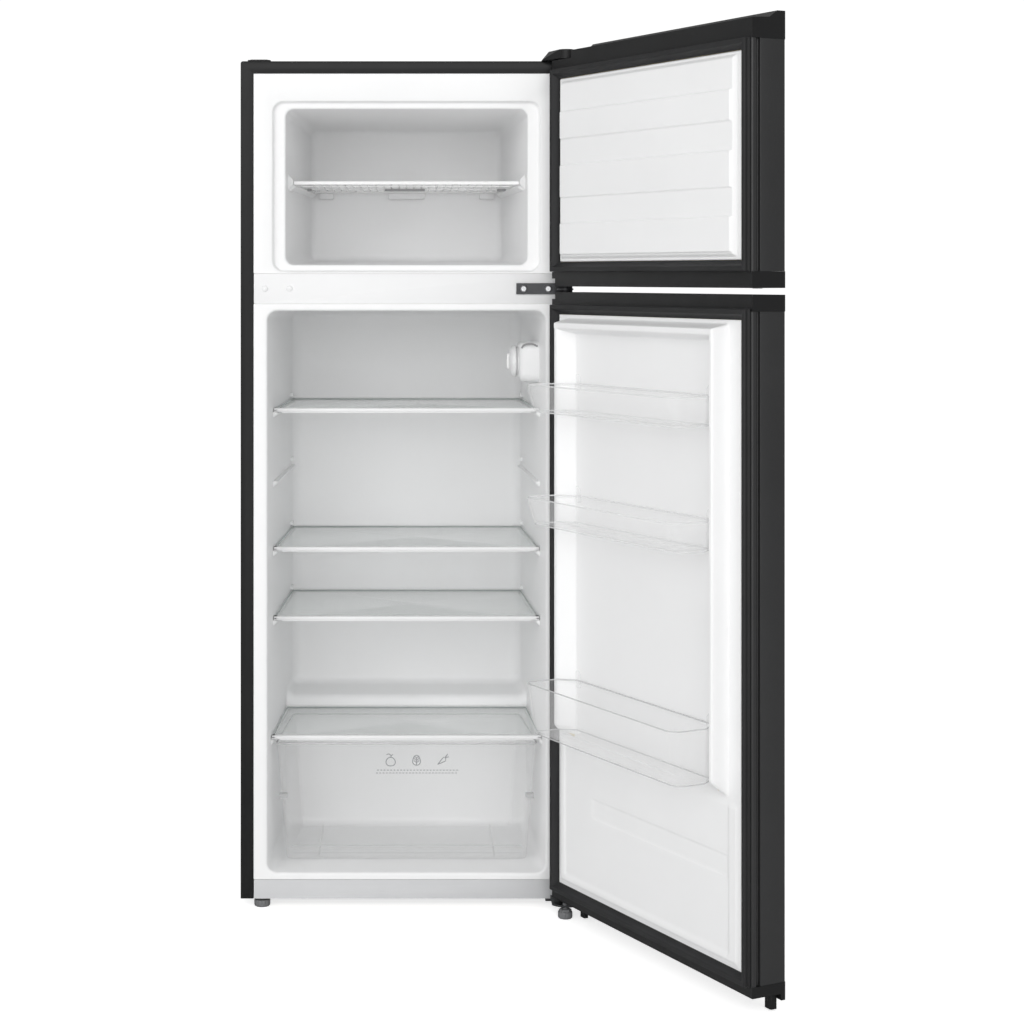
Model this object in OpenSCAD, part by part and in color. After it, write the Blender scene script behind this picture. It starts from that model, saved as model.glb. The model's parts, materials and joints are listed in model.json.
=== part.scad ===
// Free-standing top freezer refrigerator with its two doors standing open.
// +Z is up and the front faces -Y. The solids are drawn about the cabinet: x = 0 on its
// centre plane, y = 0 on its front plane, z = 0 on the floor. The whole model is then moved
// so that its origin is on the floor under the middle of the open refrigerator.

/* [Cabinet] */
// Width of the cabinet and of both doors
cab_w = 555; // [545:1:580]
// Depth of the cabinet without its doors
cab_d = 488; // [480:1:520]
// Height of the cabinet's own body
cab_h = 1400; // [1395:1:1440]
// Gap between the floor and the cabinet
floor_gap = 15; // [15:1:18]
// Width of the painted band around the cabinet's front
band = 22; // [18:1:24]

/* [Doors] */
// Angle at which both doors stand open
door_open = 116.8; // [0:0.1:125]
// Thickness of a door from its inner plane to its front
door_t = 59; // [52:1:64]
// Gap between the cabinet's front and a door's inner plane
door_gap = 12; // [11:0.5:13]
// Distance from the cabinet's side to the hinge axis
hinge_in = 13; // [12:0.5:15]
// Distance from a door's inner plane to the hinge axis
hinge_out = 19; // [18:0.5:22]
// Height of the dykes that the door bins hang between
dyke_h = 30; // [24:1:32]

/* [Compartments] */
// Half width of the fresh food compartment at its front
fridge_half = 233; // [228:1:235]
// Half width of the fresh food compartment at its back
fridge_back = 214; // [206:1:220]
// Half width of the freezer compartment at its front
freezer_half = 203; // [196:1:206]
// Half width of the freezer compartment at its back
freezer_back = 178; // [170:1:186]
// Depth of both compartments
room_d = 432; // [420:1:436]
// Underside of the lowest glass shelf
shelf_low = 466; // [460:1:480]
// Height between two shelf positions
shelf_step = 119; // [110:1:120]

/* [Door bins] */
// Rim height of the lower, deep bin
bin_low_z = 402; // [395:1:410]
// Rim height of the middle bin
bin_mid_z = 701; // [690:1:710]
// Rim height of the upper bin
bin_top_z = 882; // [875:1:890]
// How far the bins stand into the compartment
bin_reach = 92; // [80:1:93]

/* [Hidden] */

$fn = 32;
eps = 0.01;

// ---- cabinet levels and planes ----
half = cab_w / 2;
body_z = floor_gap;
top_z = floor_gap + cab_h;
flange_half = half - band;
flange_top = top_z - band + 1;
skin = 1.2;
liner_t = 2;
fit = 0.3;
toe_z = 47;
divider_lo = 1009;
divider_hi = 1060;
divider_mid = 1034.5;

// ---- compartments: floor, ceiling and corner radius ----
fridge_floor = 58;
fridge_top = 998;
fridge_r = 17;
freezer_floor = 1074;
freezer_top = 1336;
freezer_r = 14;
freezer_step = [224, 1063, 1348, 10];
step_y = 315;
step_z = 292;
step_r = 14;
room_front = -1;
corner_cut = 16;
room_slope = 8;
freezer_front = freezer_step[3] - 1;
freezer_d = room_d - 4;
foam_joint = 0.2;
machine_y = 350;
machine_z = 262;

// ---- shelves ----
shelf_y = 88;
shelf_back = room_d - corner_cut - 2;
rail_h = 6;
rail_d = 13;
glass_t = 4;
cover_y = 55;
cover_z = 269;
cover_back = 311;
frz_shelf_z = 1211;
frz_shelf_y = 60;
shelf_levels = [for (i = [0:3]) shelf_low + i * shelf_step];

// ---- doors: heights, and the hinge axis ----
frz_door_lo = 1038.6;
frz_door_hi = 1425;
frz_door_lip = 1436.7;
fr_door_lo = 26;
fr_door_lip = 16.5;
fr_door_hi = 1029;
cap_h = 24;
axis_x = half - hinge_in;
axis_y = -door_gap - hinge_out;
pin_r = 4;
bush_clear = 0.05;
bush_r = 7;
bush_h = 15;
arm_lo = 1032.3;
arm_t = 3;
rim_u = 28;
rim_free = 22;
gasket_u = 8.5;
gasket_free = 3;
gasket_h = 11.4;
gasket_w = 9;
cap_proud = 0.8;
cap_r = 4;
panel_lip = 26;
frz_rim = [1079, 1380];
fr_rim = [58.5, 992.5];
dyke_base = 52;
dyke_top = 56;
dyke_in = 64;
dyke_root = 84;
dyke_lo = 300;
dyke_hi = 986;
dyke_r = 1.5;
bin_u = 66;
bin_wall = 2.5;

// ---- feet, hinge plates ----
left_foot_x = -242;
left_foot_y = 13.5;
right_foot_x = axis_x - 3.5;
right_foot_y = axis_y - 25;
rear_foot_x = 235;
rear_foot_y = 462;
plate_t = 3;
low_arm_z = 18;

// The origin is half way across and along the floor area that the open refrigerator covers.
free_r = cab_w - hinge_in;
reach_x = axis_x - free_r * cos(door_open) + (door_t - hinge_out) * sin(door_open);
reach_y = axis_y - free_r * sin(door_open) + hinge_out * cos(door_open);
origin_x = (reach_x - half) / 2;
origin_y = (reach_y + cab_d) / 2;

// ---------------------------------------------------------------- helpers

function lerp(a, b, t) = a + (b - a) * t;
function fridge_wall(y) = lerp(fridge_half, fridge_back, y / room_d);
function freezer_wall(y) = lerp(freezer_half, freezer_back, y / room_d);

// Moves cabinet coordinates to the model's own origin.
module place() {
    translate([-origin_x, -origin_y, 0]) children();
}

// Turns a closed door about the hinge axis to where it stands open.
module swing() {
    place()
        translate([axis_x, axis_y, 0])
            rotate([0, 0, door_open])
                translate([-axis_x, -axis_y, 0])
                    children();
}

// Door coordinates: u runs from the hinge side, p stands inward from the inner plane.
module on_door() {
    translate([half, -door_gap, 0]) mirror([1, 0, 0]) children();
}

// Box between two corners.
module span(lo, hi) {
    translate(lo) cube(hi - lo);
}

// Rectangle with round corners, made of plain squares and circles.
module round_rect(lo, hi, r) {
    translate([lo.x + r, lo.y]) square([hi.x - lo.x - 2 * r, hi.y - lo.y]);
    translate([lo.x, lo.y + r]) square([hi.x - lo.x, hi.y - lo.y - 2 * r]);
    for (x = [lo.x + r, hi.x - r], y = [lo.y + r, hi.y - r])
        translate([x, y]) circle(r);
}

// Rectangle with its corners cut at 45 degrees, each cut touching the round corner of radius r.
module cut_rect(lo, hi, r) {
    c = (2 - sqrt(2)) * r;
    polygon([
        [lo.x + c, lo.y], [hi.x - c, lo.y], [hi.x, lo.y + c], [hi.x, hi.y - c],
        [hi.x - c, hi.y], [lo.x + c, hi.y], [lo.x, hi.y - c], [lo.x, lo.y + c]
    ]);
}

// Stands a shape drawn in x and z up, and gives it a depth along +Y from y0.
module upright(y0, depth) {
    translate([0, y0 + depth, 0]) rotate([90, 0, 0]) linear_extrude(depth) children();
}

// Slab across the cabinet, of half width w and between two heights, with round or cut corners.
module slab(w, z0, z1, r, y, t = eps, cut = false) {
    upright(y, t)
        if (cut) cut_rect([-w, z0], [w, z1], r);
        else round_rect([-w, z0], [w, z1], r);
}

// Block whose upright section changes from [x0, z0, x1, z1] at y0 to another one at y1.
module wedge(y0, a, y1, b) {
    hull() {
        span([a[0], y0, a[1]], [a[2], y0 + eps, a[3]]);
        span([b[0], y1 - eps, b[1]], [b[2], y1, b[3]]);
    }
}

// Round bar between two points.
module bar(a, b, r) {
    d = b - a;
    len = norm(d);
    translate(a)
        rotate([0, acos(d.z / len), atan2(d.y, d.x)])
            cylinder(h = len, r = r);
}

// Tube with round bends along a list of points.
module tube_run(points, r) {
    for (i = [0:len(points) - 2]) bar(points[i], points[i + 1], r);
    for (p = points) translate(p) sphere(r);
}

// Screw with a domed head, pointing along -Z from z = 0 under its head.
module screw(shank) {
    head_r = 6;
    translate([0, 0, -shank]) cylinder(h = shank + eps, r = 2);
    difference() {
        cylinder(h = 2.8, r1 = head_r, r2 = head_r - 2, $fn = 24);
        for (a = [0, 90]) rotate(a) translate([-3.2, -0.6, 1.4]) cube([6.4, 1.2, 2]);
    }
}

top_screws = [[240, 22], [240, 46], [266, 46]];
mid_screws = [195.7, 236.7];
low_screws = [[242, 16], [242, 44], [268, 44]];
screw_len = 12;

// The places where hinge screws and foot studs pass through the cabinet.
module screw_holes() {
    for (s = top_screws) translate([s.x, s.y, top_z - 14]) cylinder(h = 20, r = 2.3);
    for (x = mid_screws, side = [1, -1])
        translate([side * x, -2, divider_mid]) rotate([-90, 0, 0]) cylinder(h = 18, r = 2.3);
    for (s = low_screws) translate([s.x, s.y, body_z - 4]) cylinder(h = 18, r = 2.3);
    translate([left_foot_x, left_foot_y, body_z - 2]) cylinder(h = 24, r = 4.4);
}

// ---------------------------------------------------------------- cabinet

// Area below a level across the cabinet, open at the bottom.
module below(w, z) {
    translate([-w, body_z - 1]) square([2 * w, z - body_z + 1]);
}

// The painted sheet that is the sides, the top and the band around the front.
module outer_wrapper() {
    corner_r = 4;
    rear_fold = 14;
    lip_y = 9;
    color("#232325") place() difference() {
        union() {
            difference() {
                upright(0, cab_d) {
                    translate([-half, body_z]) square([cab_w, cab_h - corner_r]);
                    translate([-half + corner_r, body_z]) square([cab_w - 2 * corner_r, cab_h]);
                    for (side = [1, -1])
                        translate([side * (half - corner_r), top_z - corner_r]) circle(corner_r);
                }
                upright(skin, cab_d - 2 * skin) below(half - skin, top_z - skin);
                upright(cab_d - 3, 5) below(half - rear_fold, top_z - rear_fold);
            }
            // the band turns back into the foam and holds the liners' edges
            upright(skin / 2, lip_y - skin / 2)
                translate([-flange_half - fit - skin, body_z])
                    square([2 * (flange_half + fit + skin), flange_top + fit + skin - body_z]);
        }
        upright(-1, lip_y + 2) below(flange_half + fit, flange_top + fit);
        screw_holes();
    }
}

// Pressed sheet that closes the back above the machine space.
module rear_panel() {
    color("#3a3b3d") place() {
        span([-half + 15, cab_d - 2.4, machine_z + 16], [half - 15, cab_d - 1.4, top_z - 3]);
        // stiffening ribs pressed into the sheet
        for (i = [0:4])
            translate([(i - 2) * 100, cab_d - 1.5, 0])
                span([-9, 0, machine_z + 70], [9, 3, top_z - 70]);
    }
}

// Sheet under the foam, which steps up over the machine space.
module bottom_panel() {
    color("#8d8f92") place() difference() {
        union() {
            span([-half + 2, 10, body_z], [half - 2, machine_y, body_z + skin]);
            span([-half + 2, machine_y - skin, body_z], [half - 2, machine_y, machine_z]);
            span([-half + 2, machine_y - skin, machine_z - skin],
                 [half - 2, cab_d - 2.8, machine_z]);
        }
        screw_holes();
        drain(drain_r + 0.4);
    }
}

// Pressed tray that carries the compressor.
module compressor_tray() {
    color("#77797c") place() difference() {
        union() {
            span([-half + 2, machine_y + 1, body_z], [half - 2, cab_d - 3, body_z + 2]);
            span([-half + 2, cab_d - 5, body_z], [half - 2, cab_d - 3, body_z + 24]);
        }
        for (x = [-1, 1], y = [-1, 1])
            translate([comp_x + x * mount_x, comp_y + y * mount_y, 0])
                cylinder(h = 60, r = 3.2);
        for (side = [-1, 1])
            translate([side * rear_foot_x, rear_foot_y, 0]) cylinder(h = 60, r = 4.3);
        translate([inlet_x, cab_d - 8, inlet_z]) rotate([-90, 0, 0]) cylinder(h = 8, r = 7);
    }
}

// Volume of the fresh food compartment, grown by off on every side.
module fridge_room(off, cut = false) {
    // where the walls end and the cut rear corners begin
    bend_y = room_d - corner_cut;
    t = (bend_y - room_front) / (room_d - room_front);
    spread = (sqrt(2) - 1) * off;
    difference() {
        hull() {
            slab(fridge_half + off, fridge_floor - off, fridge_top + off, fridge_r + off,
                 room_front, cut = cut);
            slab(lerp(fridge_half, fridge_back, t) + off, fridge_floor - off,
                 fridge_top - room_slope * t + off, fridge_r + off, bend_y + spread, cut = cut);
            slab(fridge_back - corner_cut + spread, fridge_floor - off,
                 fridge_top - room_slope + off, fridge_r, room_d + off, cut = cut);
        }
        span([-half, step_y + off, 0], [half, cab_d, step_z - off - step_r]);
        span([-half, step_y + off + step_r, 0], [half, cab_d, step_z - off]);
        translate([-half, step_y + off + step_r, step_z - off - step_r])
            rotate([0, 90, 0]) cylinder(h = cab_w, r = step_r);
    }
}

// Volume of the freezer compartment, grown by off on every side.
module freezer_room(off, cut = false) {
    hull() {
        slab(freezer_half + off, freezer_floor - off, freezer_top + off, freezer_r + off,
             freezer_front, cut = cut);
        slab(freezer_back + off, freezer_floor + room_slope - off,
             freezer_top - room_slope + off, freezer_r + off, freezer_d + off, cut = cut);
    }
    upright(-1, freezer_step[3] + 1 + off)
        round_rect([-freezer_step[0] - off, freezer_step[1] - off],
                   [freezer_step[0] + off, freezer_step[2] + off], 20);
}

// Sheet-thin joints along the planes of one compartment's two walls, ceiling and floor, which
// part the foam round it into plain blocks. The room narrows from its front to its back.
module room_joints(front, back, half_w, half_w_back, floor_z, floor_back, top, top_back, z0, z1) {
    t = foam_joint;
    // where the compartment's planes stand at the foam's front and back
    ya = 2;
    yb = cab_d - 2;
    ka = (ya - front) / (back - front);
    kb = (yb - front) / (back - front);
    wa = lerp(half_w, half_w_back, ka);
    wb = lerp(half_w, half_w_back, kb);
    for (side = [0, 1]) mirror([side, 0, 0])
        wedge(ya, [wa - eps, z0, wa + t, z1], yb, [wb - eps, z0, wb + t, z1]);
    ca = lerp(top, top_back, ka);
    cb = lerp(top, top_back, kb);
    wedge(ya, [-wa, ca - eps, wa, ca + t], yb, [-wb, cb - eps, wb, cb + t]);
    fa = lerp(floor_z, floor_back, ka);
    fb = lerp(floor_z, floor_back, kb);
    wedge(ya, [-wa, fa - t, wa, fa + eps], yb, [-wb, fb - t, wb, fb + eps]);
    // behind the cut corners
    span([-half_w_back - t, back - t, floor_back - t],
         [half_w_back + t, back + eps, top_back + t]);
}

// Foam that fills the cabinet between the sheets and the liners, laid as plain blocks.
module insulation() {
    gap = liner_t + fit;
    edge = half - skin - 0.4;
    step_back = room_d + gap;
    color("#e9dcb0") place() difference() {
        union() {
            span([-flange_half + 1, 3, body_z + 1.5], [flange_half - 1, 11, flange_top - 1]);
            span([-half + 7, 10, body_z + 1.5], [half - 7, cab_d - 3, top_z - 1.6]);
            // full thickness where no condenser pipe runs
            span([-edge, 10, body_z + 1.5], [edge, 50, top_z - 1.6]);
            span([-edge, 440, body_z + 1.5], [edge, cab_d - 3, top_z - 1.6]);
            span([-edge, 40, 1310], [edge, 450, top_z - 1.6]);
        }
        fridge_room(gap, cut = true);
        freezer_room(gap, cut = true);
        span([-half, machine_y - skin - fit, 0], [half, cab_d + 1, machine_z + fit]);
        translate([0, 0, evap_z]) span([-172, evap_y - 0.5, -112], [172, evap_y + 4, 112]);
        drain(drain_r + 0.4);
        screw_holes();
        room_joints(room_front, step_back, fridge_half + gap, fridge_back + gap,
                    fridge_floor - gap, fridge_floor - gap, fridge_top + gap,
                    fridge_top - room_slope + gap, 0, divider_mid);
        room_joints(freezer_front, freezer_d + gap, freezer_half + gap, freezer_back + gap,
                    freezer_floor - gap, freezer_floor + room_slope - gap, freezer_top + gap,
                    freezer_top - room_slope + gap, divider_mid, top_z);
        // level joints at the divider, at the machine space and on the step, and one at its foot
        for (z = [divider_mid, machine_z + fit])
            span([-half, 0, z], [half, cab_d, z + foam_joint]);
        span([-fridge_back - gap, step_back - 1, step_z - gap - foam_joint],
             [fridge_back + gap, cab_d, step_z - gap]);
        span([-fridge_half, step_y + gap - foam_joint, fridge_floor - gap],
             [fridge_half, step_y + gap + eps, fridge_floor + fridge_r]);
    }
}

// Way of the drain from the compartment's rear step down to the machine space.
module drain(r) {
    translate([drain_x, drain_y, machine_z - 12]) cylinder(h = step_z - machine_z + 12, r = r);
}

// Support ledges along the walls of a compartment.
module ledges(z, y0, y1, depth, thick, freezer = false) {
    for (side = [1, -1])
        translate([0, 0, z - thick]) linear_extrude(thick)
            polygon([
                for (q = [[y0, -depth], [y0, 1], [y1, 1], [y1, -depth]])
                    [side * ((freezer ? freezer_wall(q[0]) : fridge_wall(q[0])) + q[1]), q[0]]
            ]);
}

// Liner of the fresh food compartment with its front flange and shelf ledges.
module fridge_liner() {
    color("#f1f2f3") place() {
        difference() {
            union() {
                fridge_room(liner_t);
                span([-flange_half, 0, toe_z], [flange_half, liner_t, divider_lo]);
                drain(drain_r);
            }
            fridge_room(0);
            upright(-5, 5) square([cab_w, 3000], center = true);
            translate([0, 0, -1]) drain(drain_r - 2);
            translate([drain_x, drain_y, step_z - 4]) cylinder(h = 5, r = drain_r - 2);
        }
        for (z = shelf_levels) ledges(z - 0.4, shelf_y + 4, shelf_back - 2, 8, 6);
        ledges(cover_z - 0.4, cover_y + 4, cover_back - 2, 6, 5);
        // round noses at the ledges' front ends
        for (z = shelf_levels, side = [1, -1])
            translate([side * (fridge_wall(shelf_y) - 3.5), shelf_y + 4, z - 7])
                cylinder(h = 6, r = 5);
    }
}

// Liner of the freezer compartment with its front flange and shelf rests.
module freezer_liner() {
    color("#f1f2f3") place() {
        difference() {
            union() {
                freezer_room(liner_t);
                span([-flange_half, 0, divider_hi], [flange_half, liner_t, flange_top]);
            }
            freezer_room(0);
            upright(-5, 5) square([cab_w, 3000], center = true);
        }
        ledges(frz_shelf_z - 0.4, frz_shelf_y, 424, 10, 6, freezer = true);
        // cheeks beside the front rail of the shelf, which narrow towards it
        for (side = [0, 1]) mirror([side, 0, 0]) hull() {
            span([200, frz_shelf_y - 14, frz_shelf_z - 9], [201, frz_shelf_y + 10, frz_shelf_z + 17]);
            span([192.5, frz_shelf_y - 8, frz_shelf_z - 1], [193.5, frz_shelf_y + 4, frz_shelf_z + 10]);
        }
        // lugs on the back wall under the shelf's rear rail
        for (x = [-150, 0, 150], w = [x == 0 ? 34 : 14])
            span([x - w, 416, frz_shelf_z - 12], [x + w, 429, frz_shelf_z - 1]);
    }
}

// White strip across the front between the two compartments.
module divider_cover() {
    color("#eeeff0") place() difference() {
        span([-flange_half, 0, divider_lo + fit], [flange_half, 2.5, divider_hi - fit]);
        screw_holes();
    }
}

// Strip across the front under the fresh food compartment.
module toe_strip() {
    color("#d4d6d8") place() {
        span([-flange_half, 0, body_z], [flange_half, 2.5, toe_z - fit]);
        span([-flange_half + 2, 2.4, body_z + 2], [flange_half - 2, 3, toe_z - 4]);
    }
}

// ---------------------------------------------------------------- cooling system

comp_x = 95;
comp_y = 417;
comp_r = 56;
mount_x = 74;
mount_y = 42;
evap_y = freezer_d + liner_t + fit;
evap_z = 1205;
drain_x = 40;
drain_y = 400;
drain_r = 8;
inlet_x = -180;
inlet_z = 30;
inlet_r = 3.5;
drier_y = 462;

// Condenser pipe laid in runs against the inside of both side sheets.
module condenser_coil() {
    pipe_r = 2.4;
    run_lo = 330;
    run_hi = 1270;
    pitch = 60;
    color("#b87333") place()
        for (side = [1, -1], i = [0:5]) {
            x = side * (half - skin - pipe_r - 0.3);
            y = 90 + i * pitch;
            translate([x, y, run_lo]) cylinder(h = run_hi - run_lo, r = pipe_r);
            if (i < 5)
                translate([x, y + pitch / 2, i % 2 == 0 ? run_hi : run_lo])
                    rotate([0, i % 2 == 0 ? -90 : 90, 0])
                        rotate_extrude(angle = 180, start = -90)
                            translate([pitch / 2, 0]) circle(pipe_r);
        }
}

// Flat evaporator plate with its channel, foamed in against the freezer's back wall.
module evaporator() {
    color("#b9bcc0") place() translate([0, evap_y, evap_z]) {
        span([-168, 0, -108], [168, 1.5, 108]);
        for (i = [0:5])
            span([-150, 1.4, -96 + i * 36], [150, 3.4, -88 + i * 36]);
        for (i = [0:4])
            span([i % 2 == 0 ? 142 : -150, 1.4, -96 + i * 36],
                 [i % 2 == 0 ? 150 : -142, 3.4, -52 + i * 36]);
    }
}

// Hermetic compressor: a welded shell with two feet plates and three pipe stubs.
module compressor() {
    base_z = body_z + 18;
    color("#1b1c1e") place() translate([comp_x, comp_y, base_z]) {
        rotate_extrude($fn = 64) polygon([
            [0, 4], [comp_r - 18, 4], [comp_r - 5, 12], [comp_r, 26], [comp_r, 74],
            [comp_r + 3, 75], [comp_r + 3, 80], [comp_r, 81], [comp_r, 104],
            [comp_r - 6, 122], [comp_r - 22, 134], [0, 140]
        ]);
        difference() {
            for (x = [-1, 1])
                span([x * mount_x - 11, -mount_y - 12, 0], [x * mount_x + 11, mount_y + 12, 3]);
            for (x = [-1, 1], y = [-1, 1])
                translate([x * mount_x, y * mount_y, -1]) cylinder(h = 6, r = 5.3);
        }
        span([-mount_x - 2, -16, 0], [mount_x + 2, 16, 6]);
    }
}

// Rubber mounts between the compressor's feet and the tray.
module compressor_mounts() {
    color("#222222") place()
        for (x = [-1, 1], y = [-1, 1])
            translate([comp_x + x * mount_x, comp_y + y * mount_y, body_z + 2])
                difference() {
                    rotate_extrude() polygon([
                        [0, 0], [11, 0], [11, 9], [9, 15.8], [5.2, 15.8],
                        [5.2, 19.2], [8, 19.2], [8, 24], [0, 24]
                    ]);
                    translate([0, 0, -1]) cylinder(h = 26, r = 3.2);
                }
}

// Starter relay under its clip-on cover.
module relay_box() {
    color("#26282b") place()
        translate([comp_x - comp_r - 29, comp_y, body_z + 60]) {
            span([0, -22, 0], [24, 22, 46]);
            span([4, -16, 46], [18, 16, 50]);
            span([23, -8, 8], [28.6, 8, 24]);
        }
}

// Tray over the compressor that takes the defrost water.
module drip_tray() {
    z = body_z + 158.3;
    color("#303236") place() difference() {
        span([comp_x - 78, comp_y - 60, z], [comp_x + 78, comp_y + 58, z + 26]);
        span([comp_x - 76, comp_y - 58, z + 2], [comp_x + 76, comp_y + 56, z + 27]);
    }
}

// Copper filter drier in the liquid line.
module filter_drier() {
    color("#b87333") place() translate([-70, drier_y, body_z + 60]) rotate([0, 90, 0])
        rotate_extrude() polygon([
            [0, 0], [2.6, 0], [2.6, 8], [9, 16], [9, 84], [2.6, 94], [2.6, 104], [0, 104]
        ]);
}

// Suction, discharge and liquid lines in the machine space.
module refrigerant_pipes() {
    z = body_z;
    color("#b87333") place() {
        // discharge line to the left side
        tube_run([[comp_x + 20, comp_y + 55.2, z + 60], [comp_x + 20, comp_y + 63, z + 60],
                  [comp_x + 20, comp_y + 63, z + 34], [-250, comp_y + 63, z + 34],
                  [-250, comp_y + 63, machine_z - 5]], 2.6);
        // suction line to the foam
        tube_run([[comp_x + 59.4, comp_y, z + 110], [comp_x + 130, comp_y, z + 110],
                  [comp_x + 130, comp_y, machine_z - 5]], 3.2);
        // liquid line from the drier up to the foam
        tube_run([[-72.6, drier_y, z + 60], [-120, drier_y, z + 60],
                  [-120, drier_y, machine_z - 4]], 2.4);
        tube_run([[-200, drier_y + 10, machine_z - 4], [-200, drier_y + 10, z + 130],
                  [38, drier_y + 10, z + 130], [38, drier_y, z + 60]], 2.4);
    }
}

// Inlet gland of the mains lead in the machine space.
module power_inlet() {
    color("#17181a") place() translate([inlet_x, cab_d - 2.8, inlet_z]) rotate([-90, 0, 0])
        difference() {
            rotate_extrude() polygon([
                [0, -6], [6.8, -6], [6.8, 0], [11, 0], [11, 3], [8, 5], [7, 8], [0, 8]
            ]);
            translate([0, 0, -7]) cylinder(h = 16, r = inlet_r);
        }
}

// ---------------------------------------------------------------- controls and lamp

control_y = 100;
control_back = 198;
control_lo = 874;
control_hi = 941;
control_face = 194;
dial_y = 148;
dial_z = (control_lo + control_hi) / 2;
dial_r = 27.5;
dial_shaft = 4;
lamp_x = 207;

// Outline on the right wall between two depths, standing out to x.
module wall_outline(x, y0, y1) {
    polygon([[x, y0], [fridge_wall(y0) - 0.4, y0], [fridge_wall(y1) - 0.4, y1], [x, y1]]);
}

// Housing of the thermostat on the right wall.
module control_housing() {
    color("#f4f5f6") place() difference() {
        union() {
            translate([0, 0, control_lo]) linear_extrude(control_hi - control_lo)
                wall_outline(control_face, control_y, control_back);
            translate([control_face, dial_y, dial_z]) rotate([0, -90, 0])
                cylinder(h = 2.5, r = dial_r + 2);
        }
        translate([control_face - 4, dial_y, dial_z]) rotate([0, 90, 0])
            cylinder(h = 18, r = dial_shaft + bush_clear);
        // slot under the dial's upper edge
        span([control_face + 3, control_y - 1, control_lo + 8],
             [control_face + 6, control_y + 3, control_hi - 8]);
    }
}

// Dial that sets the temperature.
module thermostat_dial() {
    face = control_face - 2.9;
    color("#fafafa") place() translate([face, dial_y, dial_z]) rotate([0, -90, 0]) {
        difference() {
            rotate_extrude($fn = 64) polygon([
                [0, 0], [dial_r - 1, 0], [dial_r, 1], [dial_r, 10], [dial_r - 2, 13], [0, 13]
            ]);
            // finger hollows on both sides of the grip
            for (side = [1, -1])
                translate([0, side * 16, 6]) cylinder(h = 10, r = 9);
        }
        translate([0, 0, -14]) cylinder(h = 14 + eps, r = dial_shaft);
    }
}

// Clear cover of the lamp behind the thermostat.
module lamp_cover() {
    y1 = 262;
    color("#e8eef2") place() translate([0, 0, control_lo + 3]) difference() {
        linear_extrude(58) wall_outline(199, control_back + 1, y1);
        translate([0, 0, 2]) linear_extrude(54)
            polygon([[201, control_back + 3], [fridge_wall(control_back) + 2, control_back + 3],
                     [fridge_wall(y1) + 2, y1 - 2], [201, y1 - 2]]);
        translate([lamp_x, control_back, dial_z - control_lo - 3]) rotate([-90, 0, 0])
            cylinder(h = 4, r = 5);
    }
}

// Lamp in its holder.
module lamp() {
    color("#fff4d6") place() translate([lamp_x, control_back + 0.2, dial_z]) rotate([-90, 0, 0]) {
        cylinder(h = 18, r = 4.6);
        translate([0, 0, 18]) cylinder(h = 18, r = 4);
        translate([0, 0, 36]) sphere(5);
    }
}

// ---------------------------------------------------------------- shelves and drawer

// Wire shelf of the freezer.
module freezer_shelf() {
    wires = 25;
    rear = 414;
    z = frz_shelf_z;
    color("#fbfbfb") place() {
        span([-191.5, frz_shelf_y, z], [191.5, frz_shelf_y + 5, z + 6]);
        span([-174, rear - 4, z], [174, rear, z + 4]);
        for (side = [1, -1])
            translate([0, 0, z]) linear_extrude(4) polygon([
                [side * 185.5, frz_shelf_y + 4], [side * 191, frz_shelf_y + 4],
                [side * 174, rear], [side * 168.5, rear]
            ]);
        for (i = [0:wires - 1]) {
            x = -162 + i * 324 / (wires - 1);
            translate([x, frz_shelf_y + 3, z + 2.5]) rotate([-90, 0, 0])
                cylinder(h = rear - frz_shelf_y - 5, r = 1.4, $fn = 8);
        }
        for (y = [170, 290])
            translate([-lerp(186, 171, (y - 60) / 350), y, z - 0.2])
                cube([2 * lerp(186, 171, (y - 60) / 350), 3, 2.4]);
    }
}

// Glass plate that narrows with the compartment's walls.
module glass_plate(z, y0, y1, gap) {
    color("#d8ebe8", 0.4) place() translate([0, 0, z]) linear_extrude(glass_t)
        polygon([
            [-fridge_wall(y0) + gap, y0], [fridge_wall(y0) - gap, y0],
            [fridge_wall(y1) - gap, y1], [-fridge_wall(y1) + gap, y1]
        ]);
}

// Front and rear trims of a glass plate, each with a slot that the plate is pushed into.
module plate_trims(z, y0, y1, width) {
    color("#fcfcfc") place() difference() {
        union() {
            upright(y0, rail_d) round_rect([-width, z], [width, z + rail_h + 0.4], 2);
            upright(y1 - 8, 9)
                round_rect([-fridge_wall(y1) + 2.6, z], [fridge_wall(y1) - 2.6, z + rail_h], 2);
        }
        span([-half, y0 + 4, z + 1], [half, y1 - 3, z + glass_t + 1]);
    }
}

module shelf_glass_upper() { glass_plate(shelf_levels[3] + 1, shelf_y + 4.2, shelf_back - 3.2, 3); }
module shelf_trim_upper() { plate_trims(shelf_levels[3], shelf_y, shelf_back, fridge_wall(shelf_y) - 1.8); }
module shelf_glass_middle() { glass_plate(shelf_levels[1] + 1, shelf_y + 4.2, shelf_back - 3.2, 3); }
module shelf_trim_middle() { plate_trims(shelf_levels[1], shelf_y, shelf_back, fridge_wall(shelf_y) - 1.8); }
module shelf_glass_lower() { glass_plate(shelf_levels[0] + 1, shelf_y + 4.2, shelf_back - 3.2, 3); }
module shelf_trim_lower() { plate_trims(shelf_levels[0], shelf_y, shelf_back, fridge_wall(shelf_y) - 1.8); }
module crisper_cover_glass() { glass_plate(cover_z + 1, cover_y + 4.2, cover_back - 3.2, 3); }
module crisper_cover_trim() { plate_trims(cover_z, cover_y, cover_back, fridge_wall(cover_y) - 1.8); }

drawer_lo = 60;
drawer_hi = 262;
drawer_y = 60;

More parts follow.
